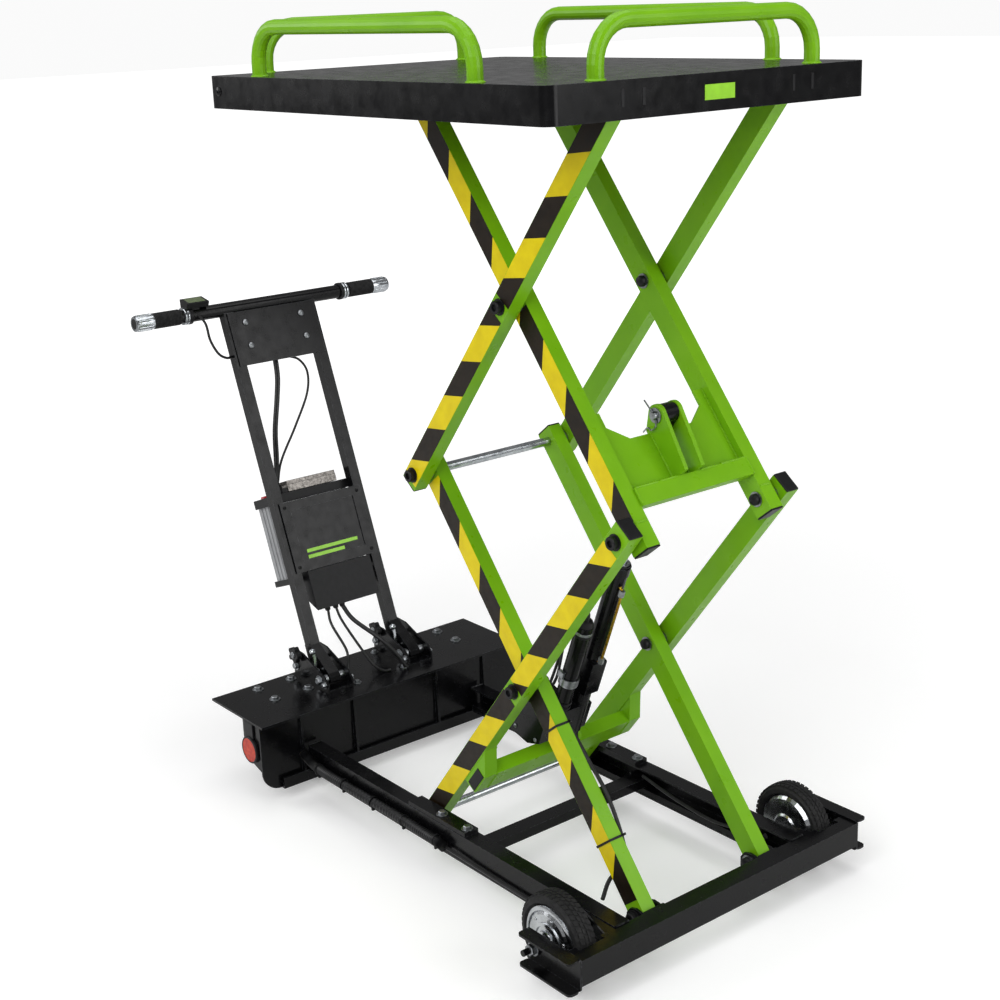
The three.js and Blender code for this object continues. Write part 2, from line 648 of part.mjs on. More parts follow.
function addHandle() {
  const half = POST_SIZE / 2;
  const barAt = onHandle(BAR_S, 0);
  let frame = rodY(barAt, BAR_R, -BAR_HALF + 112.4, BAR_HALF, 28);
  frame = frame.add(rodY(barAt, 11, -BAR_HALF + 2, -BAR_HALF + 120, 24));
  for (const side of [-1, 1]) {
    const y = side * POST_Y;
    const foot = outline([
      [-366, 203], [-366, 214], [-374, 221], onHandle(72, 10), onHandle(72, -10), onHandle(30, -10),
      [-400, 199], [-374, 196],
    ]);
    const boot = plateXZ(foot, ...span(side, BRACKET_Y - 13.5, BRACKET_Y + 13))
      .subtract(rodY(FOLD_PIVOT, 6.3, ...span(side, 60, 160)));
    frame = join(frame, handlePlate(34, 862, -half, half, y - half, y + half), boot);
  }
  addNode("handle_frame", frame, BLACK_PAINT);
  addNode("handle_upper_plate", handlePlate(729, 855, half + 0.2, half + 3.2, -116, 116), BLACK_PAINT);

  const recess = handlePlate(259, 380, half + 2, half + 9, -86, 86);
  const lower = handlePlate(235, 401, half + 0.2, half + 4.2, -111, 111).subtract(recess);
  addNode("handle_lower_plate", lower, BLACK_PAINT);

  const boxSide = outline([
    onHandle(141, 22), onHandle(234, 22), onHandle(234, -10), onHandle(206, -10), onHandle(206, -35),
    onHandle(186, -35),
  ]);
  addNode("controller_box", plateXZ(boxSide, -86, 86), BLACK_PAINT);

  const battery = join(
    handlePlate(226, 404, -114, -22, -96, 96),
    handlePlate(403, 424, -118, -18, -102, 102),
    handlePlate(213, 227, -118, -18, -102, 102),
    handlePlate(300, 360, -23, -12.8, -96, 96),
  );
  addNode("battery", battery.subtract(handlePlate(419, 430, -88, -72, -97, -83)), GREY_ANODISED);
  addNode("battery_switch", handlePlate(420, 429, -87.6, -72.4, -96.6, -83.4), RED_PLASTIC);

  const [px, pz] = barAt;
  const pod = plateXZ(
    outline([[px - 14, pz + 37], [px + 22, pz + 30], [px + 16, pz + 17.5], [px - 12, pz + 17.5]]), -216, -160);
  const saddle = join(pod, box([px - 10, px + 10], [-204, -180], [pz + 10, pz + 20]))
    .subtract(rodY(barAt, BAR_R + 0.2, -240, -140, 28));
  addNode("display_pod", saddle, BLACK_PLASTIC);

  const grip = rodY(barAt, BAR_R + 1, -BAR_HALF, -BAR_HALF + 112, 28)
    .subtract(rodY(barAt, 11.3, -BAR_HALF + 1.6, -BAR_HALF + 114, 24));
  addNode("throttle_grip", grip, RUBBER);
}

addRails();
addFrontCrossbar();
addAxleBrackets();
addHubWheels();
addRearBox();
addCasters();
addArms();
addCrossbeams();
addShafts();
addRollers();
addActuator();
addDeck();
addHoops();
addFoldBrackets();
addHandle();

export default lift;
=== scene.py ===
"""Looks of the scissor lift table: finishes, hazard tape, fasteners, welds, cables and small fittings.

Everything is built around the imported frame. Helper code works in millimetres and converts at the end.
"near" is the -Y side and "far" the +Y side; +X points to the hub wheels.
"""
import json
import math
import random

import bmesh
import bpy
from mathutils import Matrix, Vector


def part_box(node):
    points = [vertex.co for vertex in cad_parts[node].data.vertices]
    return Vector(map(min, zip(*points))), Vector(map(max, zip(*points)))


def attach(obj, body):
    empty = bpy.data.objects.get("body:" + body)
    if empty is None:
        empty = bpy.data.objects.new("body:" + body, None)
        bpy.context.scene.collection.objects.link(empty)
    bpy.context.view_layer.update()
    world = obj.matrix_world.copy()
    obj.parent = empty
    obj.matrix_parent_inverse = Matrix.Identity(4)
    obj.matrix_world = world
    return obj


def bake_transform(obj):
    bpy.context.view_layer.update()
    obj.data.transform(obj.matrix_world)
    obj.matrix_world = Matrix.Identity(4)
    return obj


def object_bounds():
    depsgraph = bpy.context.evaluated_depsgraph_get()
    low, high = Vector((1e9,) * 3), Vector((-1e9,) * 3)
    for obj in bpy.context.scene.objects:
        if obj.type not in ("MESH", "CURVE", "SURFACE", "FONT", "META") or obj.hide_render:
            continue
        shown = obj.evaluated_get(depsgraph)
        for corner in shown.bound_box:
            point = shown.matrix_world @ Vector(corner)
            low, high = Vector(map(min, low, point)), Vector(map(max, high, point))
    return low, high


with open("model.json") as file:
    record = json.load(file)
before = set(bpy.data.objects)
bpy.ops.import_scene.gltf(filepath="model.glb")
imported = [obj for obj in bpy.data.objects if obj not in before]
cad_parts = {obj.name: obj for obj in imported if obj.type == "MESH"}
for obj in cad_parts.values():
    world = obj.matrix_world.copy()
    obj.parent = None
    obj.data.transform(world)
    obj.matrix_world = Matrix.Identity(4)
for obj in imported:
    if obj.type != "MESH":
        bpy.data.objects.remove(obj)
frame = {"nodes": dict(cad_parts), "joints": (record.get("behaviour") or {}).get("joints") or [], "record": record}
CAD_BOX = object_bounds()

MM = 0.001
SIDES = (("near", -1), ("far", 1))
JOINTS = {joint["name"]: joint for joint in frame["joints"]}


def joint_point(name):
    x, y, z = JOINTS[name]["pos_m"]
    return Vector((x, y, z)) / MM


# Pivots of the linkage, all on the middle plane
FOOT_PIVOT = joint_point("lift_pivot")
LOWER_CROSS = joint_point("lower_cross_pivot")
KNUCKLE = joint_point("front_knuckle")
UPPER_CROSS = joint_point("upper_cross_pivot")
DECK_PIVOT = joint_point("deck_pivot")
LOWER_ROLLER = Vector((2 * LOWER_CROSS.x - KNUCKLE.x, 0, FOOT_PIVOT.z))
REAR_KNUCKLE = Vector((LOWER_ROLLER.x, 0, KNUCKLE.z))
UPPER_ROLLER = Vector((LOWER_ROLLER.x, 0, DECK_PIVOT.z))
INNER_ARM = (136, 166)
OUTER_ARM = (176, 206)
ARM_WIDTH = 42
TAPE_BLOCK = 92.5

# Actuator: base pin, its axis towards the clevis, and the motor's place beside the tube
ACTUATOR_BASE = joint_point("actuator_base_pivot")
ACTUATOR_AXIS = Vector(JOINTS["actuator_extension"]["axis"]).normalized()
CLEVIS = Vector((603, 0, 979))
ROD_EYE_REACH = 42
MOTOR_Y = -50

# Handle: the direction up the posts, the bar at their top, and the ends of the battery between its caps
HANDLE_UP = -Vector(JOINTS["power_switch_press"]["axis"]).normalized()
HANDLE_FRONT = Vector((HANDLE_UP.z, 0, -HANDLE_UP.x))
BAR = joint_point("throttle_twist")
BAR.y = 0
BAR_HEIGHT = 866.9
BRACKET_Y = 112
BATTERY_BODY = (240, 395)

_, DECK_HIGH = (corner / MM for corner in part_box("deck_pan"))
REAR_PLATE_TOP = 190


# Placing

def on_handle(s, n, y):
    """s up the posts from their foot, n to the front of the posts' middle plane."""
    point = BAR + HANDLE_UP * (s - BAR_HEIGHT) + HANDLE_FRONT * n
    point.y = y
    return point


def across_handle(s, y, n):
    """The same place as on_handle, with the distance to the front given last."""
    return on_handle(s, n, y)


def on_actuator(d, m, y):
    """d along the actuator from its base pin, m square to it on the front side."""
    across = Vector((ACTUATOR_AXIS.z, 0, -ACTUATOR_AXIS.x))
    point = ACTUATOR_BASE + ACTUATOR_AXIS * d + across * m
    point.y = y
    return point


def on_arm(start, end, along, square, y):
    """along an arm from its start pivot, square to it on its front side."""
    direction = (end - start).normalized()
    point = start + direction * along + Vector((direction.z, 0, -direction.x)) * square
    point.y = y
    return point


# Building

def rectangle(u0, v0, u1, v1):
    return [(u0, v0), (u1, v0), (u1, v1), (u0, v1)]


class Shape:
    """Closed solids in millimetres, gathered into one piece."""

    def __init__(self):
        self.bm = bmesh.new()

    def skin(self, rings, loop=False, paint=0):
        made = [[self.bm.verts.new(point) for point in ring] for ring in rings]
        pairs = list(zip(made, made[1:]))
        if loop:
            pairs.append((made[-1], made[0]))
        for lower, upper in pairs:
            for k in range(max(len(lower), len(upper))):
                corners = [
                    lower[k % len(lower)], lower[(k + 1) % len(lower)],
                    upper[(k + 1) % len(upper)], upper[k % len(upper)],
                ]
                corners = list(dict.fromkeys(corners))
                face = self.bm.faces.new(corners)
                face.material_index = paint

    def turned(self, profile, origin, axis, sides=28, loop=False, paint=0, phase=0.0):
        """Turns (radius, offset) pairs about an axis; a radius of 0 closes the end."""
        axis = Vector(axis).normalized()
        across = axis.orthogonal().normalized()
        other = axis.cross(across)
        rings = []
        for radius, offset in profile:
            centre = Vector(origin) + axis * offset
            if radius == 0:
                rings.append([centre])
                continue
            ring = []
            for k in range(sides):
                angle = phase + 2 * math.pi * k / sides
                ring.append(centre + (across * math.cos(angle) + other * math.sin(angle)) * radius)
            rings.append(ring)
        self.skin(rings, loop, paint)

    def collar(self, inner, outer, low, high, origin, axis, sides=28, paint=0):
        """A ring of rectangular section between two offsets along its axis."""
        section = [(inner, low), (outer, low), (outer, high), (inner, high)]
        self.turned(section, origin, axis, sides, loop=True, paint=paint)

    def disc(self, radius, low, high, origin, axis, sides=28, paint=0):
        profile = [(0, low), (radius, low), (radius, high), (0, high)]
        self.turned(profile, origin, axis, sides, paint=paint)

    def swept(self, points, radius, sides=10, ripple=0.0, smooth=8):
        """A round cable or bead along a smooth path; ripple makes every other ring smaller."""
        path = catmull(points, smooth) if smooth else [Vector(p) for p in points]
        normal = (path[1] - path[0]).orthogonal().normalized()
        rings = [[path[0]]]
        for i, point in enumerate(path):
            before = path[max(i - 1, 0)]
            after = path[min(i + 1, len(path) - 1)]
            direction = (after - before).normalized()
            normal = (normal - direction * normal.dot(direction)).normalized()
            other = direction.cross(normal)
            size = radius * (1 - ripple * (i % 2))
            rings.append([
                point + (normal * math.cos(a) + other * math.sin(a)) * size
                for a in (2 * math.pi * k / sides for k in range(sides))
            ])
        rings.append([path[-1]])
        self.skin(rings)

    def slab(self, outline, place, depth, paint=0):
        """A flat outline placed by place(u, v, w) and thickened from w = 0 to w = depth."""
        lower = [self.bm.verts.new(place(u, v, 0)) for u, v in outline]
        upper = [self.bm.verts.new(place(u, v, depth)) for u, v in outline]
        faces = [self.bm.faces.new(lower), self.bm.faces.new(upper)]
        for k in range(len(outline)):
            j = (k + 1) % len(outline)
            faces.append(self.bm.faces.new((lower[k], lower[j], upper[j], upper[k])))
        for face in faces:
            face.material_index = paint

    def block(self, low, high, place=lambda x, y, z: Vector((x, y, z))):
        (x0, y0, z0), (x1, y1, z1) = low, high
        self.slab(rectangle(x0, y0, x1, y1), lambda u, v, w: place(u, v, z0 + w), z1 - z0)

    def piece(self, name, body, slot, *materials, bevel=0.0, segments=2):
        bmesh.ops.recalc_face_normals(self.bm, faces=self.bm.faces)
        mesh = bpy.data.meshes.new(name)
        self.bm.to_mesh(mesh)
        self.bm.free()
        mesh.transform(Matrix.Scale(MM, 4))
        obj = bpy.data.objects.new(name, mesh)
        bpy.context.scene.collection.objects.link(obj)
        for material in materials:
            mesh.materials.append(material)
        round_edges(obj, bevel, segments)
        if body:
            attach(obj, body)
        return obj


def catmull(points, steps):
    """Points of a smooth curve through the given ones."""
    points = [Vector(p) for p in points]
    ends = [points[0] * 2 - points[1], *points, points[-1] * 2 - points[-2]]
    path = []
    for a, b, c, d in zip(ends, ends[1:], ends[2:], ends[3:]):
        for step in range(steps):
            t = step / steps
            path.append(0.5 * (2 * b + (c - a) * t + (2 * a - 5 * b + 4 * c - d) * t * t
                               + (3 * b - a - 3 * c + d) * t ** 3))
    path.append(points[-1])
    return path


def round_edges(obj, width, segments=2):
    obj.data.polygons.foreach_set("use_smooth", [True] * len(obj.data.polygons))
    obj.data.set_sharp_from_angle(angle=math.radians(32))
    if width:
        bevel = obj.modifiers.new("rounded", "BEVEL")
        bevel.width = width * MM
        bevel.segments = segments
        bevel.limit_method = "ANGLE"
        bevel.angle_limit = math.radians(40)
        bevel.harden_normals = True


# Finishes

def srgb(code):
    values = [int(code[i:i + 2], 16) / 255 for i in (0, 2, 4)]
    return [v / 12.92 if v < 0.04045 else ((v + 0.055) / 1.055) ** 2.4 for v in values] + [1.0]


class Finish:
    """A node material: colour with slow mottling, roughness with fine streaks, and a grained surface."""

    def __init__(self, name, colour, roughness, metallic=0.0, coat=0.0, shine=0.5):
        self.name = name
        self.material = bpy.data.materials.new(f"finish_{name}")
        self.material.use_nodes = True
        self.nodes = self.material.node_tree.nodes
        self.links = self.material.node_tree.links
        self.bsdf = self.nodes["Principled BSDF"]
        self.colour = colour
        self.bsdf.inputs["Base Color"].default_value = colour
        self.bsdf.inputs["Roughness"].default_value = roughness
        self.bsdf.inputs["Metallic"].default_value = metallic
        self.bsdf.inputs["Coat Weight"].default_value = coat
        self.bsdf.inputs["Specular IOR Level"].default_value = shine
        self.bsdf.inputs["Coat Roughness"].default_value = 0.08
        self.coords = self.nodes.new("ShaderNodeTexCoord").outputs["Object"]
        self.normal = None

    def noise(self, size_mm, detail=4.0, stretch=(1, 1, 1)):
        mapping = self.nodes.new("ShaderNodeMapping")
        mapping.inputs["Scale"].default_value = [1 / (size_mm * MM) * k for k in stretch]
        texture = self.nodes.new("ShaderNodeTexNoise")
        texture.inputs["Scale"].default_value = 1.0
        texture.inputs["Detail"].default_value = detail
        self.links.new(self.coords, mapping.inputs["Vector"])
        self.links.new(mapping.outputs["Vector"], texture.inputs["Vector"])
        return texture.outputs["Fac"]

    def ranged(self, value, low, high, to_low, to_high):
        remap = self.nodes.new("ShaderNodeMapRange")
        self.links.new(value, remap.inputs["Value"])
        limits = (("From Min", low), ("From Max", high), ("To Min", to_low), ("To Max", to_high))
        for socket, number in limits:
            remap.inputs[socket].default_value = number
        return remap.outputs["Result"]

    def mixed(self, factor, first, second):
        mix = self.nodes.new("ShaderNodeMix")
        mix.data_type = "RGBA"
        self.links.new(factor, mix.inputs["Factor"])
        for socket, colour in ((mix.inputs["A"], first), (mix.inputs["B"], second)):
            if isinstance(colour, bpy.types.NodeSocket):
                self.links.new(colour, socket)
            else:
                socket.default_value = colour
        return mix.outputs["Result"]

    def mottled(self, other, size_mm, low=0.35, high=0.7):
        factor = self.ranged(self.noise(size_mm), low, high, 0, 1)
        self.colour = self.mixed(factor, self.colour, other)
        self.links.new(self.colour, self.bsdf.inputs["Base Color"])
        return self

    def streaked(self, low, high, size_mm=6, stretch=(1, 1, 1)):
        streaks = self.ranged(self.noise(size_mm, 6, stretch), 0.3, 0.7, low, high)
        self.links.new(streaks, self.bsdf.inputs["Roughness"])
        return self

    def grained(self, size_mm, strength, height_mm=0.1, stretch=(1, 1, 1)):
        return self.bumped(self.noise(size_mm, 3, stretch), strength, height_mm)

    def ringed(self, centre_mm, pitch_mm, strength, height_mm=0.05):
        """Turning marks around an axis along Y through the centre."""
        mapping = self.nodes.new("ShaderNodeMapping")
        mapping.inputs["Location"].default_value = [-v * MM for v in centre_mm]
        wave = self.nodes.new("ShaderNodeTexWave")
        wave.wave_type = "RINGS"
        wave.rings_direction = "Y"
        wave.inputs["Scale"].default_value = 0.3 / (pitch_mm * MM)
        self.links.new(self.coords, mapping.inputs["Vector"])
        self.links.new(mapping.outputs["Vector"], wave.inputs["Vector"])
        return self.bumped(wave.outputs["Fac"], strength, height_mm)

    def bumped(self, value, strength, height_mm):
        bump = self.nodes.new("ShaderNodeBump")
        bump.inputs["Strength"].default_value = strength
        bump.inputs["Distance"].default_value = height_mm * MM
        self.links.new(value, bump.inputs["Height"])
        if self.normal is not None:
            self.links.new(self.normal, bump.inputs["Normal"])
        self.normal = bump.outputs["Normal"]
        self.links.new(self.normal, self.bsdf.inputs["Normal"])
        return self

    def painted_edge_highlight(self, highlight_colour, radius_mm=1.6, amount=0.7):
        """Painted highlight: a lighter colour where two faces meet, broken up by noise."""
        bevel = self.nodes.new("ShaderNodeBevel")
        bevel.samples = 4
        bevel.inputs["Radius"].default_value = radius_mm * MM
        geometry = self.nodes.new("ShaderNodeNewGeometry")
        dot = self.nodes.new("ShaderNodeVectorMath")
        dot.operation = "DOT_PRODUCT"
        self.links.new(bevel.outputs["Normal"], dot.inputs[0])
        self.links.new(geometry.outputs["Normal"], dot.inputs[1])
        edge = self.ranged(dot.outputs["Value"], 0.98, 0.82, 0, amount)
        broken = self.nodes.new("ShaderNodeMath")
        broken.operation = "MULTIPLY"
        self.links.new(edge, broken.inputs[0])
        self.links.new(self.ranged(self.noise(7, 6), 0.42, 0.62, 0, 1), broken.inputs[1])
        self.colour = self.mixed(broken.outputs["Value"], self.colour, highlight_colour)
        self.links.new(self.colour, self.bsdf.inputs["Base Color"])
        return self


def make_finishes():
    hub_centre = joint_point("hub_wheel_spin_near")
    green = Finish("green_paint", srgb("74ad10"), 0.3, coat=0.08, shine=0.2).mottled(srgb("6ba50c"), 90)
    # The lighter green on the green paint's edges is a painted highlight.
    green.painted_edge_highlight(srgb("94c93a"), amount=0.5).streaked(0.26, 0.42, 30).grained(2.2, 0.12, 0.12)
    black = Finish("black_paint", srgb("070708"), 0.2, coat=0.06, shine=0.2).mottled(srgb("0b0b0d"), 60)
    # The lighter grey on the black paint's edges is a painted highlight, standing in for edge reflections.
    black.painted_edge_highlight(srgb("5c5f64"), amount=0.6).streaked(0.16, 0.3, 25).grained(1.8, 0.1, 0.08)
    plastic = Finish("black_plastic", srgb("0f0f11"), 0.42, shine=0.25).mottled(srgb("161618"), 12)
    plastic.grained(0.7, 0.35, 0.08)
    rubber = Finish("tyre_rubber", srgb("141415"), 0.7, shine=0.35).mottled(srgb("1e1e1e"), 18)
    rubber.streaked(0.62, 0.85, 10).grained(1.1, 0.4, 0.15)
    grip = Finish("grip_rubber", srgb("111112"), 0.7, shine=0.3).mottled(srgb("232324"), 9)
    grip.grained(0.9, 0.5, 0.12)
    hub = Finish("hub_aluminium", srgb("cfd2d5"), 0.2, metallic=1.0).mottled(srgb("b2b5b8"), 30)
    hub.streaked(0.14, 0.3, 14).ringed(hub_centre, 0.8, 0.25).grained(1.0, 0.08, 0.04)
    chrome = Finish("bright_plating", srgb("c8ccd0"), 0.2, metallic=1.0).mottled(srgb("a8adb2"), 14)
    chrome.streaked(0.1, 0.26, 8).grained(0.8, 0.06, 0.03)
    zinc = Finish("zinc_fastener", srgb("a0a3a6"), 0.32, metallic=1.0).mottled(srgb("7f8285"), 5)
    zinc.grained(0.5, 0.12, 0.04)
    anodised = Finish("grey_anodised", srgb("a6a8aa"), 0.42, metallic=0.55).mottled(srgb("98999b"), 40)
    anodised.streaked(0.36, 0.5, 4, (1, 1, 0.08)).grained(0.5, 0.1, 0.04)
    cast = Finish("controller_cast", srgb("7d7975"), 0.24, metallic=0.9).mottled(srgb("524f4c"), 6)
    cast.streaked(0.18, 0.36, 8).grained(0.8, 0.15, 0.05)
    brass = Finish("brass_pipe", srgb("b9992e"), 0.25, metallic=1.0).mottled(srgb("9c7020"), 10)
    brass.streaked(0.2, 0.36, 6)
    lamp = Finish("lamp_lens", srgb("a81c04"), 0.14, coat=0.2, shine=0.2).mottled(srgb("c83a08"), 7)
    lamp.grained(2.4, 0.5, 0.4)
    red = Finish("red_plastic", srgb("c2182b"), 0.3, coat=0.3).mottled(srgb("a81022"), 6)
    red.grained(0.6, 0.2, 0.05)
    yellow = Finish("tape_yellow", srgb("dcc804"), 0.34, coat=0.05, shine=0.2).mottled(srgb("d0ba03"), 30)
    yellow.streaked(0.28, 0.46, 12).grained(1.4, 0.14, 0.06)
    dark = Finish("tape_black", srgb("150e06"), 0.36, coat=0.05, shine=0.2).mottled(srgb("1f1508"), 26)
    dark.streaked(0.3, 0.48, 12).grained(1.4, 0.14, 0.06)
    cable = Finish("cable_sheath", srgb("0d0d0e"), 0.42, shine=0.4).mottled(srgb("1e1e20"), 20)
    cable.grained(0.9, 0.25, 0.06)
    screen = Finish("display_glass", srgb("5a6b3c"), 0.1, coat=0.8).mottled(srgb("44552c"), 12)
    screen.grained(3, 0.02)
    badge = Finish("green_decal", srgb("8fd019"), 0.36, coat=0.2).mottled(srgb("86c414"), 14)
    badge.grained(1, 0.1)
    finishes = (
        green, black, plastic, rubber, grip, hub, chrome, zinc, anodised,
        cast, brass, lamp, red, yellow, dark, cable, screen, badge,
    )
    return {finish.name: finish.material for finish in finishes}


FINISH = make_finishes()
GREEN = FINISH["green_paint"]
BLACK = FINISH["black_paint"]
PLASTIC = FINISH["black_plastic"]
CHROME = FINISH["bright_plating"]
ZINC = FINISH["zinc_fastener"]
CABLE = FINISH["cable_sheath"]


def edge_radius(name):
    """Turned pieces keep their edges, and heavy tubes are rounded more than plates."""
    if name.startswith(("hub", "tyre", "hoop", "side_lamp", "throttle", "tie_shaft")):
        return 0
    if "arm_" in name or "crossbeam" in name or name.startswith(("rail", "front_crossbar", "mid_")):
        return 2.2
    return 0.9


def finish_cad_nodes():
    """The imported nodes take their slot's finish and slightly rounded edges."""
    slots = {part["node"]: part["material_slot"] for part in frame["record"]["subparts"]}
    for name, obj in frame["nodes"].items():
        material = FINISH[slots[name]]
        obj.data.materials.clear()
        obj.data.materials.append(material)
        round_edges(obj, edge_radius(name))


def paint_battery_caps():
    """Black plastic on the battery's two ends."""
    battery = frame["nodes"]["battery"].data
    battery.materials.append(PLASTIC)
    for polygon in battery.polygons:
        corners = [battery.vertices[k].co / MM for k in polygon.vertices]
        heights = [(corner - BAR).dot(HANDLE_UP) + BAR_HEIGHT for corner in corners]
        if min(heights) > BATTERY_BODY[1] or max(heights) < BATTERY_BODY[0]:
            polygon.material_index = 1


def plate_actuator_rod():
    """Bright plating on the rod, and paint on its eye."""
    rod = frame["nodes"]["actuator_rod"].data
    rod.materials.append(CHROME)
    for polygon in rod.polygons:
        if (polygon.center / MM - CLEVIS).length > ROD_EYE_REACH:
            polygon.material_index = 1


# Fasteners

# Profiles of a socket bolt's head on its washer and of a cap nut: radius and distance out
SOCKET_HEAD = (
    (0, 0.2), (15, 0.2), (15, 2.2), (11.6, 2.4), (12, 11), (11, 12.4), (6.6, 12.4), (6.2, 8.4), (0, 8.4),
)
CAP_NUT = ((0, 2.7), (10.5, 2.7), (10.5, 8), (9.4, 10.5), (6, 12.4), (0, 13))


def hex_bolt(shape, base, axis, size, height, washer=True):
    """A hexagon head with a chamfer, on a round washer if it has one."""
    lift = 0
    if washer:
        lift = 1.6
        shape.disc(size * 1.5, 0, lift, base, axis, 24)
    top = lift + height
    head = [(0, lift), (size, lift), (size, lift + height * 0.8), (size * 0.84, top), (0, top)]
    shape.turned(head, base, axis, 6, phase=0.3)


def dome_bolt(shape, base, axis, size, height):
    """A domed head with a round socket in its middle."""
    dome = [(0, 0), (size, 0), (size, 1)]
    for step in range(1, 5):
        angle = step / 5 * math.pi / 2
        dome.append((size * math.cos(angle), 1 + (height - 1) * math.sin(angle)))
    socket = [(size * 0.3, height), (size * 0.3, height - 2), (0, height - 2)]
    shape.turned([*dome, *socket], base, axis, 20)


def pivot_hardware(name, body, pivot, outside, inside=None, spacer=True):
    """Socket bolt heads outside, cap nuts inside and a spacer between the two arms, on both sides."""
    bolts = Shape()
    for _, side in SIDES:
        centre = Vector((pivot.x, 0, pivot.z))
        axis = Vector((0, side, 0))
        bolts.turned([(radius, outside + offset) for radius, offset in SOCKET_HEAD], centre, axis, 32)
        if inside:
            bolts.disc(14, inside - 0.2, inside - 2.6, centre, axis, paint=1)
            bolts.turned([(radius, inside - offset) for radius, offset in CAP_NUT], centre, axis, 24)
        if spacer:
            bolts.collar(10, 16, INNER_ARM[1] + 0.3, OUTER_ARM[0] - 0.3, centre, axis, paint=1)
    bolts.piece(name, body, "bright_plating", PLASTIC, ZINC)


def add_pivots():
    outside, inside = OUTER_ARM[1], INNER_ARM[0]
    pivot_hardware("lower_cross_bolts", "lower_inner", LOWER_CROSS, outside, inside)
    pivot_hardware("upper_cross_bolts", "upper_inner", UPPER_CROSS, outside, inside)
    pivot_hardware("front_knuckle_bolts", "lower_outer", KNUCKLE, outside, inside)
    pivot_hardware("rear_knuckle_bolts", "lower_inner", REAR_KNUCKLE, outside + 0.3)
    pivot_hardware("deck_pivot_bolts", "upper_outer", DECK_PIVOT, 213, 169, spacer=False)
    pivot_hardware("foot_pivot_bolts", "chassis", FOOT_PIVOT, 173, 124, spacer=False)


# Arms

def tape_on_arm(name, body, start, end, layer, side, strips):
    """Hazard tape on an arm's outer face: strips of blocks cut at 45 degrees, yellow and black in turn."""
    half = ARM_WIDTH / 2 - 0.8

    def place(along, square, w):
        return on_arm(start, end, along, square, side * (layer[1] + 0.05 + w))

    tape = Shape()
    for low, high, yellow_from in strips:
        first = math.floor((low - yellow_from) / TAPE_BLOCK) - 1
        last = math.ceil((high - yellow_from) / TAPE_BLOCK) + 1
        for k in range(first, last):
            a = yellow_from + k * TAPE_BLOCK
            b = a + TAPE_BLOCK
            corners = [(a - half, -half), (b - half, -half), (b + half, half), (a + half, half)]
            outline = clip_range(corners, low, high)
            if len(outline) > 2:
                tape.slab(outline, place, 0.45, paint=k % 2)
    tape.piece(name, body, "green_paint", FINISH["tape_yellow"], FINISH["tape_black"])


def clip_range(outline, low, high):
    """The part of a convex outline with its first coordinate between low and high."""
    for limit, sign in ((low, 1), (high, -1)):
        kept = []
        for (u0, v0), (u1, v1) in zip(outline, outline[1:] + outline[:1]):
            inside0, inside1 = sign * (u0 - limit) >= 0, sign * (u1 - limit) >= 0
            if inside0:
                kept.append((u0, v0))
            if inside0 != inside1:
                t = (limit - u0) / (u1 - u0)
                kept.append((limit, v0 + (v1 - v0) * t))
        outline = kept
        if len(outline) < 3:
            return []
    return outline


def add_tape():
    """Two strips on each arm, one each side of its middle pivot.

    A strip is its start, its end and where one of its yellow blocks begins, all along the arm.
    """
    arms = (
        ("lower_outer", LOWER_ROLLER, KNUCKLE, OUTER_ARM, ((-16, 440, 90), (474, 900, 486))),
        ("upper_outer", REAR_KNUCKLE, DECK_PIVOT, OUTER_ARM, ((-14, 440, 136), (474, 905, 530))),
        ("lower_inner", FOOT_PIVOT, REAR_KNUCKLE, INNER_ARM, ((27, 446, 97), (474, 900, 501))),
        ("upper_inner", KNUCKLE, UPPER_ROLLER, INNER_ARM, ((20, 446, 77), (474, 905, 472))),
    )
    for body, start, end, layer, strips in arms:
        for side_name, side in SIDES:
            tape_on_arm(f"tape_{body}_{side_name}", body, start, end, layer, side, strips)


def add_end_plugs():
    """Black plastic plugs in the square-cut tube ends."""
    ends = (
        ("lower_outer", LOWER_ROLLER, KNUCKLE, OUTER_ARM, 30),
        ("upper_inner", UPPER_ROLLER, KNUCKLE, INNER_ARM, 30),
        ("lower_inner", FOOT_PIVOT, REAR_KNUCKLE, INNER_ARM, 24),
        ("upper_outer", DECK_PIVOT, REAR_KNUCKLE, OUTER_ARM, 24),
    )
    for body, start, end, (y0, y1), reach in ends:
        length = (end - start).length + reach
        plugs = Shape()
        for _, side in SIDES:
            def place(u, v, w):
                return on_arm(start, end, length + w, u, side * v)

            half = ARM_WIDTH / 2
            plugs.slab(rectangle(-half, y0, half, y1), place, 3.5)
        plugs.piece(f"end_plugs_{body}", body, "black_plastic", PLASTIC, bevel=1.5, segments=3)
    beam = Shape()
    for _, side in SIDES:
        def place_beam(u, v, w):
            return on_arm(LOWER_ROLLER, KNUCKLE, u, v, side * (206.1 + w))

        beam.slab(rectangle(178.5, 30.5, 230.5, 53.5), place_beam, 1.6)
    beam.piece("end_plugs_crossbeam", "lower_outer", "black_plastic", PLASTIC, bevel=0.6)


def weld(shape, start, end, radius=2.6):
    """A weld bead: a low ridge of overlapping ripples."""
    start, end = Vector(start), Vector(end)
    steps = max(6, int((end - start).length / 2.2))
    path = []
    for k in range(steps + 1):
        wobble = Vector((random.uniform(-1, 1), random.uniform(-1, 1), random.uniform(-1, 1))) * 0.25
        path.append(start.lerp(end, k / steps) + wobble)
    shape.swept(path, radius, sides=8, ripple=0.22, smooth=0)


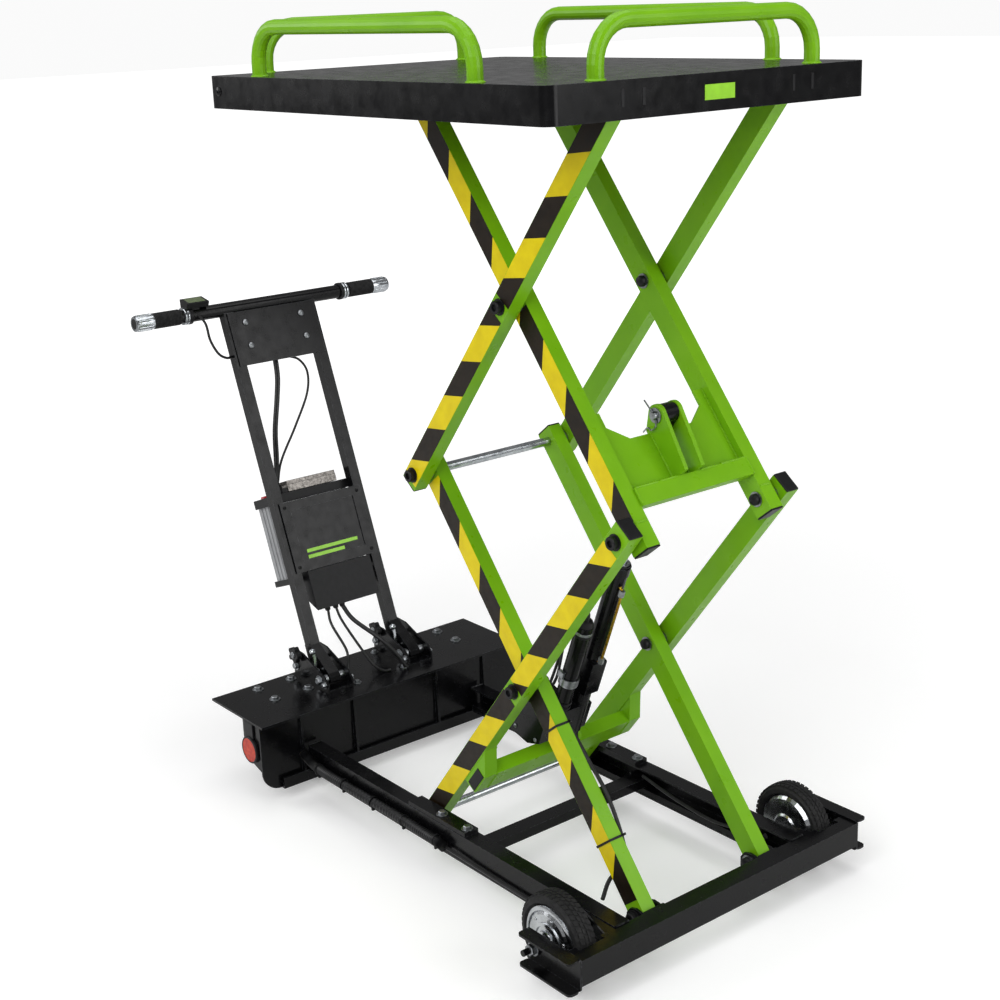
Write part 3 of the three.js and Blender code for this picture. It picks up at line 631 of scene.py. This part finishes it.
def weld_upper_crossbeam():
    upper = Shape()

    def on_upper(along, square, y):
        return on_arm(KNUCKLE, UPPER_ROLLER, along, square, y)

    for y0, y1 in ((-134, -82), (-76, -34), (24, 62), (72, 134)):
        weld(upper, on_upper(74, 24, y0), on_upper(74, 24, y1), 2.4)
    for y in (-28, -20, 12, 20):
        weld(upper, on_upper(80, 6, y), on_upper(164, 6, y), 2.0)
    for side in (-1, 1):
        weld(upper, on_upper(78, 5, side * 135), on_upper(224, 5, side * 135), 2.4)
        weld(upper, on_upper(41, 25, side * 135), on_upper(73, 25, side * 135), 2.4)
        weld(upper, on_upper(16, 21, side * 138), on_upper(16, 21, side * 164), 2.2)
    upper.piece("welds_upper_crossbeam", "upper_inner", "green_paint", GREEN)


def weld_lower_crossbeam():
    lower = Shape()

    def on_lower(along, square, y):
        return on_arm(LOWER_ROLLER, KNUCKLE, along, square, y)

    for side in (-1, 1):
        for y in (side * 176, side * 205):
            weld(lower, on_lower(174, 22, y), on_lower(278, 22, y), 2.2)
        weld(lower, on_lower(180, 56, side * 175), on_lower(230, 56, side * 175), 2)
    lower.piece("welds_lower_crossbeam", "lower_outer", "green_paint", GREEN)


def weld_chassis():
    chassis = Shape()
    for side in (-1, 1):
        weld(chassis, (306, side * 210, 92), (306, side * 240, 92))
        weld(chassis, (268, side * 210, 92), (268, side * 240, 92))
        weld(chassis, (715, side * 213, 112), (715, side * 245, 112), 2.2)
        weld(chassis, (-284, side * 212, 114), (-284, side * 246, 114), 2.2)
    chassis.piece("welds_chassis", "chassis", "black_paint", BLACK)


def weld_hoops():
    """A bead around each foot of the four hoops."""
    feet = (
        (-118, -338), (529, -338), (-118, 338), (529, 338),
        (703, -244), (703, 244), (-252, -241), (-252, 241),
    )
    bead = [(12.5, 0.3), (17, 0.3), (15.6, 2.2), (13.4, 3.4)]
    deck = Shape()
    for x, y in feet:
        deck.turned(bead, (x, y, DECK_HIGH.z), (0, 0, 1), 28, loop=True)
    deck.piece("welds_hoops", "deck", "green_paint", GREEN)


# Clevis and actuator

def add_clevis_pin():
    pin = Shape()
    axis = (0, -1, 0)
    pin.turned([(0, -23.5), (7, -23.5), (7, 35), (5.8, 37), (0, 37)], CLEVIS, axis, 24)
    pin.collar(7.4, 14, 28.3, 30.8, CLEVIS, axis)
    pin.turned([(0, -20.3), (12, -20.3), (12, -26), (10, -28), (0, -28)], CLEVIS, axis, 24)
    bends = ((-24, 24), (-8, 9), (2, -4), (4, -18), (-6, -27), (-16, -24), (-27, -34))
    pin.swept([(CLEVIS.x + dx, -33, CLEVIS.z + dz) for dx, dz in bends], 1.5, 8)
    pin.piece("clevis_pin", "upper_inner", "bright_plating", ZINC)


def add_actuator_fittings():
    """Clamp and band on the motor, the rod's collar, the pipe's two unions and a small bracket."""
    motor = on_actuator(0, 0, MOTOR_Y)
    fittings = Shape()
    fittings.collar(17.2, 20, 158, 176, motor, ACTUATOR_AXIS, 32)
    fittings.collar(17.1, 18.8, 286, 292, motor, ACTUATOR_AXIS, 32)
    fittings.collar(9.6, 15, 433, 440, on_actuator(0, 0, 0), ACTUATOR_AXIS)
    for d in (222, 386):
        fittings.disc(6, -7, 7, on_actuator(d, 28, -8), ACTUATOR_AXIS, 6)
    fittings.block((176, -12, -73), (190, 2, -66), on_actuator)
    fittings.piece("actuator_fittings", "actuator_cylinder", "bright_plating", ZINC, bevel=0.4)


def add_actuator_pipe():
    bends = ((214, 22), (226, 28), (300, 29), (382, 28), (396, 20))
    pipe = Shape()
    pipe.swept([on_actuator(d, m, -8) for d, m in bends], 2.7, 12)
    pipe.piece("actuator_pipe", "actuator_cylinder", "bright_plating", FINISH["brass_pipe"])


def add_motor_caps():
    motor = on_actuator(0, 0, MOTOR_Y)
    end = [(0, 303.2), (16, 303.2), (16, 308), (13, 314), (6, 318), (0, 319)]
    cap = Shape()
    cap.turned(end, motor, ACTUATOR_AXIS, 28)
    for d in (100, 112, 280):
        cap.collar(17.2, 18.4, d, d + 5, motor, ACTUATOR_AXIS)
    cap.piece("motor_caps", "actuator_cylinder", "black_plastic", PLASTIC, bevel=0.4)


def add_actuator_wires():
    wires = Shape()
    for offset in (-5, 5):
        path = (
            (312, offset, -52), (340, offset, -58), (330, -26, -64),
            (250, -24, -66), (160, -26 + offset, -62), (98, -40, -58),
        )
        wires.swept([on_actuator(*point) for point in path], 3, 8)
    wires.piece("actuator_wires", "actuator_cylinder", "black_plastic", CABLE)


def add_gearbox_screws():
    screws = Shape()
    for d, m in ((18, -56), (82, -56), (82, 6), (30, 4)):
        dome_bolt(screws, on_actuator(d, m, -100.1), (0, -1, 0), 4.5, 3)
    screws.piece("gearbox_screws", "actuator_cylinder", "bright_plating", ZINC)


# Cables and ties on the arms and chassis

def tie_band(shape, place, half_u, half_v):
    """A cable tie: a flat band around a rectangular section, with its lock."""
    width, thick = 4.5, 1.3
    sides = (
        (-half_u - thick, half_v, half_u + thick, half_v + thick),
        (-half_u - thick, -half_v - thick, half_u + thick, -half_v),
        (half_u, -half_v, half_u + thick, half_v),
        (-half_u - thick, -half_v, -half_u, half_v),
    )
    lock = (half_u - 2, half_v, half_u + 7, half_v + 5)
    for corners in (*sides, lock):
        shape.slab(rectangle(*corners), place, width)


def add_arm_cable():
    def along_arm(along, square, y):
        return on_arm(FOOT_PIVOT, REAR_KNUCKLE, along, square, y)

    path = (
        (450, 6, -130), (375, 12, -131), (290, 20, -131), (220, 25.5, -130),
        (143, 14, -131), (95, -8, -133), (80, -26, -168),
    )
    loose_end = (636, -203, 116)
    cable = Shape()
    cable.swept([*(along_arm(*point) for point in path), loose_end], 4, 10)
    cable.piece("arm_cable", "lower_inner", "black_plastic", CABLE)
    ties = Shape()
    for along in (139, 367):
        tie_band(ties, lambda a, b, w, along=along: along_arm(along + w, a, b - 151), 21.4, 15.4)
    ties.piece("arm_cable_ties", "lower_inner", "black_plastic", PLASTIC, bevel=0.4)


def add_chassis_conduit():
    conduit = Shape()
    points = [(-281, -262, 104), (-262, -260, 92), (-225, -258.5, 82), (-120, -258, 80), (60, -258, 82),
              (190, -258, 80), (227, -256, 74)]
    conduit.swept(points, 10.5, 14, ripple=0.16, smooth=36)
    conduit.piece("rail_conduit", "chassis", "black_plastic", CABLE)
    ties = Shape()
    for x in (-225, -130, -20, 90, 200):
        ties.collar(11, 12.4, 0, 5, (x, -258, 81), (1, 0, 0), 24)
        ties.block((x, -262, 68), (x + 5, -256, 62))
    ties.piece("rail_conduit_ties", "chassis", "black_plastic", PLASTIC, bevel=0.3)


def add_wheel_leads():
    near_lead = [
        (227, -254, 74), (330, -252, 70), (470, -252, 68),
        (560, -252, 72), (612, -257, 82), (630, -262, 84),
    ]
    far_lead = [(306, 210, 100), (420, 206, 84), (540, 206, 80), (620, 250, 84)]
    lead = Shape()
    for path in (near_lead, far_lead):
        lead.swept(path, 3.6, 8)
    lead.piece("wheel_leads", "chassis", "black_plastic", CABLE)


# Chassis

def add_chassis_bolts():
    bolts = Shape()
    up = (0, 0, 1)
    for _, side in SIDES:
        for x in (-472, -398):
            for y in (167, 255):
                hex_bolt(bolts, (x, side * y, REAR_PLATE_TOP + 0.1), up, 8.5, 6)
        for x in (188, 270):
            hex_bolt(bolts, (x, side * 229, 122.1), up, 8, 6)
        for x in (-470, -348):
            hex_bolt(bolts, (x, side * (BRACKET_Y - 46), REAR_PLATE_TOP + 0.1), up, 6.5, 5)
    bolts.piece("chassis_bolts", "chassis", "bright_plating", ZINC, bevel=0.3)


def add_axle_nuts():
    wheel_x, wheel_z = 636, 84
    nuts = Shape()
    for _, side in SIDES:
        centre = Vector((wheel_x, 0, wheel_z))
        axis = Vector((0, side, 0))
        outer_nut = [(6.3, 368.6), (11.5, 368.6), (11.5, 377), (10, 378.6), (6.3, 378.6)]
        nuts.collar(6.3, 14, 366.2, 368.4, centre, axis)
        nuts.turned(outer_nut, centre, axis, 6, loop=True)
        nuts.collar(6.3, 11, 252.4, 262, centre, axis, 6)
    nuts.piece("axle_nuts", "chassis", "bright_plating", ZINC, bevel=0.4)


def add_wheel_details():
    for side_name, side in SIDES:
        hub = joint_point(f"hub_wheel_spin_{side_name}")
        centre = Vector((hub.x, 0, hub.z))
        add_hub_trim(side_name, side, centre)
        add_tread(side_name, side, centre)


def add_hub_trim(side_name, side, centre):
    """Raised rings on the hub's cover, and six small bolts between them."""
    axis = Vector((0, side, 0))
    rim = [(57, 330.2), (63, 328.4), (64, 330), (60, 332.4), (57, 332.6)]
    step = [(30, 336.2), (36, 335.6), (36, 337.6), (30, 338.6)]
    boss = [(8, 337.2), (22, 337.2), (21, 341), (15, 343), (8, 343)]
    trim = Shape()
    for profile, sides in ((rim, 48), (step, 40), (boss, 36)):
        trim.turned(profile, centre, axis, sides, loop=True)
    for k in range(6):
        angle = math.radians(60 * k + 15)
        base = centre + Vector((math.cos(angle) * 45, side * 334.4, math.sin(angle) * 45))
        dome_bolt(trim, base, axis, 3.2, 2.2)
    aluminium = FINISH["hub_aluminium"]
    trim.piece(f"hub_trim_{side_name}", f"hub_wheel_{side_name}", "hub_aluminium", aluminium, bevel=0.3)


def add_tread(side_name, side, centre):
    """Four rows of blocks, every second row half a block further round."""
    rows = ((291.5, 300), (301.5, 306.6), (309.4, 314.5), (316, 324.5))
    count = 46
    half_angle = math.pi / count * 0.72
    tread = Shape()
    for row, (low, high) in enumerate(rows):
        for k in range(count):
            angle = 2 * math.pi * (k + 0.5 * (row % 2)) / count
            tread_block(tread, centre, side, angle, half_angle, low, high, row in (0, 3))
    tread.piece(f"tyre_tread_{side_name}", f"hub_wheel_{side_name}", "tyre_rubber", FINISH["tyre_rubber"])


def tread_block(shape, centre, side, angle, half_angle, low, high, shoulder):
    """One tread block, its foot inside the tyre and its top just proud of it."""
    inner, outer = (79.5, 84.2) if shoulder else (82, 85.6)

    def place(u, v, w):
        radius = inner + w
        a = angle + u
        return centre + Vector((math.cos(a) * radius, side * v, math.sin(a) * radius))

    skew = half_angle * 0.35
    outline = [
        (-half_angle - skew, low), (half_angle - skew, low),
        (half_angle + skew, high), (-half_angle + skew, high),
    ]
    shape.slab(outline, place, outer - inner)


def add_caster_details():
    for side_name, side in SIDES:
        wheel = joint_point(f"caster_wheel_spin_{side_name}")
        trim = Shape()
        axis = Vector((0, 1, 0))
        for end in (-1, 1):
            ring = [(12, 19.2 * end), (46, 19.2 * end), (44, 21.4 * end), (14, 22.4 * end)]
            trim.turned(ring, wheel, axis, 36, loop=True)
        trim.piece(f"caster_wheel_disc_{side_name}", f"caster_roll_{side_name}", "black_plastic", PLASTIC)
        swivel = joint_point(f"caster_swivel_{side_name}")
        fork = Shape()
        race = Vector((swivel.x, swivel.y, 0))
        fork.turned([(34, 172), (43, 172), (45, 175), (43, 180), (34, 182)], race, (0, 0, 1), 36, loop=True)
        for end in (-1, 1):
            nut_base = Vector((wheel.x, wheel.y + 32.2 * end, wheel.z))
            hex_bolt(fork, nut_base, (0, end, 0), 9, 5, washer=False)
        fork.piece(f"caster_race_{side_name}", f"caster_{side_name}", "bright_plating", ZINC)


def add_lamp_bezels():
    for side_name, side in SIDES:
        low, high = (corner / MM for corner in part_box(f"side_lamp_{side_name}"))
        centre = Vector(((low.x + high.x) / 2, 0, (low.z + high.z) / 2))
        bezel = Shape()
        axis = Vector((0, side, 0))
        ring = [(27.4, 354.4), (31.5, 354.4), (31.5, 359.5), (29.5, 361.8), (27.4, 361.8)]
        bezel.turned(ring, centre, axis, 40, loop=True)
        tab_low = (centre.x - 16, side * 354.2, centre.z + 30)
        tab_high = (centre.x + 16, side * 358.2, REAR_PLATE_TOP - 6)
        bezel.block(tab_low, tab_high)
        bezel.piece(f"lamp_bezel_{side_name}", "chassis", "black_plastic", PLASTIC, bevel=0.5)


# Deck

def add_deck_details():
    marks = Shape()
    front = DECK_HIGH.x
    for y in (-210, -166, 174, 220):
        marks.block((front - 0.2, y - 3, 1516), (front + 0.5, y + 3, 1542))
    marks.piece("skirt_slots", "deck", "black_plastic", PLASTIC)

    emboss = Shape()
    for _, side in SIDES:
        dome_bolt(emboss, (-236, side * (DECK_HIGH.y + 0.1), 1528), (0, side, 0), 9, 3.5)
    emboss.piece("skirt_emboss", "deck", "black_paint", BLACK)

    badge = Shape()
    badge.block((front + 0.1, -34, 1514), (front + 0.7, 34, 1538))
    badge.piece("deck_badge", "deck", "green_paint", FINISH["green_decal"], bevel=0.25)

    ribs = Shape()
    for y in (-120, 0, 120):
        ribs.block((-250, y - 14, 1540.5), (700, y + 14, DECK_HIGH.z - 3.2))
    ribs.piece("deck_stiffeners", "deck", "black_paint", BLACK, bevel=1)


# Handle

def add_fluted_end(name, body, axis):
    """The bright outer end of a grip, with ridges along it."""
    sleeve = [(12, 296), (17.6, 296), (18, 298), (18, 337), (16.5, 340.4), (12, 340.4)]
    ridges = 14
    end = Shape()
    end.turned(sleeve, BAR, axis, 36, loop=True)
    for k in range(ridges):
        angle = 2 * math.pi * k / ridges
        offset = Vector((math.cos(angle), 0, math.sin(angle))) * 17.4
        end.swept([BAR + offset + axis * 300, BAR + offset + axis * 335], 1.5, 6, smooth=0)
    end.piece(f"grip_end_{name}", body, "bright_plating", CHROME)


def add_grip_ribs(name, body, axis):
    pitch = 3.6
    ribs = Shape()
    for k in range(18):
        start = 230 + k * pitch
        ring = [(16.6, start), (18.1, start + 0.5), (18.1, start + 2.2), (16.6, start + 2.7)]
        ribs.turned(ring, BAR, axis, 28, loop=True)
    ribs.piece(f"grip_ribs_{name}", body, "grip_rubber", FINISH["grip_rubber"])


def add_bar_fittings():
    for name, body, side in (("near", "throttle", -1), ("far", "handle", 1)):
        axis = Vector((0, side, 0))
        add_fluted_end(name, body, axis)
        add_grip_ribs(name, body, axis)
    sleeve = Shape()
    sleeve.collar(16.1, 17.2, 228, 296, BAR, (0, 1, 0), 32)
    sleeve.piece("fixed_grip", "handle", "grip_rubber", FINISH["grip_rubber"])
    ring = ((16.2, 0), (19.5, 0), (20, 1), (20, 4), (19.5, 5), (16.2, 5))
    rings = Shape()
    collars = Shape()
    for _, side in SIDES:
        axis = Vector((0, side, 0))
        for start in (209, 216):
            rings.turned([(radius, start + offset) for radius, offset in ring], BAR, axis, 32, loop=True)
        collars.collar(16.2, 20.5, 200, 208, BAR, axis, 32)
    rings.piece("grip_rings", "handle", "bright_plating", CHROME)
    collars.piece("grip_collars", "handle", "black_plastic", PLASTIC, bevel=0.8)


def add_display():
    pod_low, pod_high = (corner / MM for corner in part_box("display_pod"))
    glass = Shape()
    rear, front = pod_low.x + 5, pod_high.x - 5
    drop = 7 / (pod_high.x - pod_low.x)

    def top(u, v, w):
        return Vector((u, v, pod_high.z - (u - pod_low.x) * drop + 0.1 + w))

    glass.slab(rectangle(rear, -209, front, -167), top, 1.2)
    glass.piece("display_glass", "handle", "black_plastic", FINISH["display_glass"], bevel=0.4)


def add_plate_fasteners():
    bolts = Shape()
    for y in (-75, 75):
        for s in (773, 828):
            dome_bolt(bolts, on_handle(s, 15.9, y), HANDLE_FRONT, 7.5, 5)
    bolts.piece("upper_plate_bolts", "handle", "bright_plating", ZINC)
    stripe = Shape()
    stripe.block((276, -70, 14.9), (284, 70, 15.4), across_handle)
    stripe.block((262, -70, 14.9), (270, 30, 15.4), across_handle)
    stripe.piece("plate_stripe", "handle", "green_paint", FINISH["green_decal"])
    corners = Shape()
    for y in (-100, 100):
        for s in (247, 389):
            dome_bolt(corners, on_handle(s, 16.9, y), HANDLE_FRONT, 4, 2.6)
    corners.piece("lower_plate_screws", "handle", "black_plastic", PLASTIC)


def add_controller():
    """Finned motor controller above the battery, and the battery's connector."""
    fins = Shape()
    fins.block((425, -56, -74), (442, 78, -22), across_handle)
    for k in range(9):
        n = -73 + k * 5.9
        fins.block((441, -56, n), (451, 78, n + 2.4), across_handle)
    fins.piece("controller_fins", "handle", "grey_anodised", FINISH["controller_cast"], bevel=0.8)
    knob = Shape()
    profile = [(0, 424.4), (11, 424.4), (12, 428), (12, 442), (10, 446), (0, 447)]
    knob.turned(profile, on_handle(0, -34, -78), HANDLE_UP, 24)
    knob.block((424.3, -72, -34), (436, -56, -24), across_handle)
    knob.piece("battery_connector", "handle", "black_plastic", PLASTIC, bevel=0.6)


def add_battery_fins():
    rails = Shape()
    for n in (-100, -84, -68, -52, -36):
        for side in (-1, 1):
            low, high = sorted((side * 96.1, side * 97.6))
            rails.block((228, low, n), (402, high, n + 3), across_handle)
    rails.piece("battery_fins", "handle", "grey_anodised", FINISH["grey_anodised"], bevel=0.3)


def add_cable_glands():
    glands = Shape()
    for y in (-52, -30, -12):
        glands.turned([(0, 0), (7, 0), (7, 4), (5.6, 9), (0, 9)], on_handle(143, 8, y), -HANDLE_UP, 12)
    glands.piece("cable_glands", "handle", "black_plastic", PLASTIC)


def add_handle_cables():
    display_lead = (
        (864, 14, -188), (838, 20, -178), (800, 18, -176),
        (768, 10, -160), (756, 2, -138), (758, -4, -122),
    )
    battery_lead = ((735, -4, -15), (690, -8, -20), (640, -16, -32), (570, -26, -52), (500, -32, -66))
    looped_lead = (
        (735, -4, 25), (722, -6, 52), (690, -8, 66), (640, -12, 52),
        (570, -22, 4), (500, -30, -50), (446, -34, -74),
    )
    cables = Shape()
    cables.swept([on_handle(*point) for point in display_lead], 3, 10)
    for shift in (0, 7):
        path = [on_handle(s, n, y + shift) for s, n, y in battery_lead]
        cables.swept([*path, on_handle(444, -34, -78)], 3.4, 10)
    cables.swept([on_handle(*point) for point in looped_lead], 2.8, 10)
    cables.piece("handle_cables", "handle", "black_plastic", CABLE)


def add_chassis_cables():
    """Three cables from the box's glands to the rear plate."""
    runs = (
        (
            ((136, 8, -52), (100, 10, -54)),
            ((-404, -54, 250), (-392, -60, 214), (-380, -66, 193.5)), 3.2, 10,
        ),
        (
            ((136, 8, -30), (100, 14, -26)),
            ((-392, -20, 246), (-372, -4, 210), (-356, 14, 194), (-350, 30, 193.6)), 3.2, 10,
        ),
        (
            ((136, 8, -12), (96, 22, 0)),
            ((-376, 26, 262), (-352, 52, 222), (-344, 66, 196), (-342, 70, 190.4)), 5.2, 12,
        ),
    )
    down = Shape()
    for at_box, to_plate, radius, sides in runs:
        down.swept([*(on_handle(*point) for point in at_box), *to_plate], radius, sides)
    cable = down.piece("chassis_cables", None, "black_plastic", CABLE)
    start = on_handle(130, 8, -30)
    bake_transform(cable)


def add_fold_hardware():
    fold = joint_point("handle_fold")
    hardware = Shape()
    for _, side in SIDES:
        y = side * BRACKET_Y
        for end in (-1, 1):
            for x, z, size in ((fold.x, fold.z, 9), (-478, 216, 7.5), (-358, 204, 6)):
                hex_bolt(hardware, (x, y + end * 34.2, z), (0, end, 0), size, 6)
        for inner_end, outer_end in ((14, 29.6), (-14.5, -29.6)):
            hardware.collar(6.4, 10, inner_end, outer_end, (fold.x, y, fold.z), (0, 1, 0), 24)
    hardware.piece("fold_bracket_bolts", "chassis", "bright_plating", ZINC, bevel=0.3)
    for side_name, side in SIDES:
        knob = JOINTS[f"star_knob_turn_{side_name}"]["pos_m"]
        cap = Shape()
        dome_bolt(cap, (knob[0] / MM, side * BRACKET_Y - 50.1, knob[2] / MM), (0, -1, 0), 8, 3)
        cap.piece(f"knob_cap_{side_name}", f"knob_{side_name}", "bright_plating", ZINC)
        pivot = Shape()
        lever = joint_point(f"lock_lever_swing_{side_name}")
        hex_bolt(pivot, (lever.x, side * BRACKET_Y - 28.2, lever.z), (0, -1, 0), 5, 1.2, washer=False)
        pivot.piece(f"lever_nut_{side_name}", f"lever_{side_name}", "bright_plating", ZINC)


# Stage

def glow_with_distance(finish):
    """Lifts the floor towards the background's white away from the object, in the camera's eyes only."""
    nodes, links = finish.nodes, finish.links
    distance = nodes.new("ShaderNodeVectorMath")
    distance.operation = "LENGTH"
    links.new(finish.coords, distance.inputs[0])
    glow = finish.ranged(distance.outputs["Value"], 1.2, 6, 0.25, 0.93)
    seen = nodes.new("ShaderNodeMath")
    seen.operation = "MULTIPLY"
    links.new(glow, seen.inputs[0])
    links.new(nodes.new("ShaderNodeLightPath").outputs["Is Camera Ray"], seen.inputs[1])
    links.new(seen.outputs["Value"], finish.bsdf.inputs["Emission Strength"])
    finish.bsdf.inputs["Emission Color"].default_value = (1, 1, 1, 1)


def add_stage():
    shape = bmesh.new()
    bmesh.ops.create_grid(shape, x_segments=1, y_segments=1, size=40)
    mesh = bpy.data.meshes.new("floor")
    shape.to_mesh(mesh)
    shape.free()
    floor = bpy.data.objects.new("floor", mesh)
    floor.location.z = CAD_BOX[0][2] - 0.0005
    bpy.context.scene.collection.objects.link(floor)
    pale = Finish("floor_pale", (0.86, 0.86, 0.86, 1), 0.6, shine=0.1)
    glow_with_distance(pale)
    mesh.materials.append(pale.material)

    world = bpy.data.worlds.new("studio")
    world.use_nodes = True
    nodes, links = world.node_tree.nodes, world.node_tree.links
    level = nodes.new("ShaderNodeMapRange")
    level.inputs["To Min"].default_value = 0.24
    level.inputs["To Max"].default_value = 0.96
    links.new(nodes.new("ShaderNodeLightPath").outputs["Is Camera Ray"], level.inputs["Value"])
    links.new(level.outputs["Result"], nodes["Background"].inputs["Strength"])
    nodes["Background"].inputs["Color"].default_value = (1, 1, 1, 1)
    bpy.context.scene.world = world
    lights = (
        ("key", (2.4, -4.2, 4.0), 4.4, 190),
        ("fill", (5.0, 1.8, 2.6), 4.0, 120),
        ("left", (-3.8, -2.8, 3.0), 3.4, 75),
        ("top", (0.0, 0.2, 5.0), 4.6, 90),
    )
    for name, place, size, power in lights:
        data = bpy.data.lights.new(name, "AREA")
        data.shape = "DISK"
        data.size = size
        data.energy = power
        lamp = bpy.data.objects.new(name, data)
        lamp.location = place
        lamp.rotation_euler = (Vector((0, 0, 0.7)) - Vector(place)).to_track_quat("-Z", "Y").to_euler()
        bpy.context.scene.collection.objects.link(lamp)


def add_camera():
    place = Vector((2.6120, -1.9575, 1.6867))
    target = Vector((0.1218, 0, 0.7151))
    roll = math.radians(-2.145)
    data = bpy.data.cameras.new("camera")
    data.lens = 59.41
    data.sensor_width = 36
    camera = bpy.data.objects.new("camera", data)
    back = (place - target).normalized()
    right = Vector((0, 0, 1)).cross(back).normalized()
    up = back.cross(right)
    x = right * math.cos(roll) + up * math.sin(roll)
    y = up * math.cos(roll) - right * math.sin(roll)
    camera.matrix_world = Matrix.Translation(place) @ Matrix((x, y, back)).transposed().to_4x4()
    bpy.context.scene.collection.objects.link(camera)
    bpy.context.scene.camera = camera
    bpy.context.scene.view_settings.view_transform = "Standard"


def main():
    random.seed(7)
    finish_cad_nodes()
    paint_battery_caps()
    plate_actuator_rod()
    add_pivots()
    add_tape()
    add_end_plugs()
    weld_upper_crossbeam()
    weld_lower_crossbeam()
    weld_chassis()
    weld_hoops()
    add_clevis_pin()
    add_actuator_fittings()
    add_actuator_pipe()
    add_motor_caps()
    add_actuator_wires()
    add_gearbox_screws()
    add_arm_cable()
    add_chassis_conduit()
    add_wheel_leads()
    add_chassis_bolts()
    add_axle_nuts()
    add_wheel_details()
    add_caster_details()
    add_lamp_bezels()
    add_deck_details()
    add_bar_fittings()
    add_display()
    add_plate_fasteners()
    add_controller()
    add_battery_fins()
    add_cable_glands()
    add_fold_hardware()
    add_handle_cables()
    add_chassis_cables()
    add_stage()
    add_camera()


main()
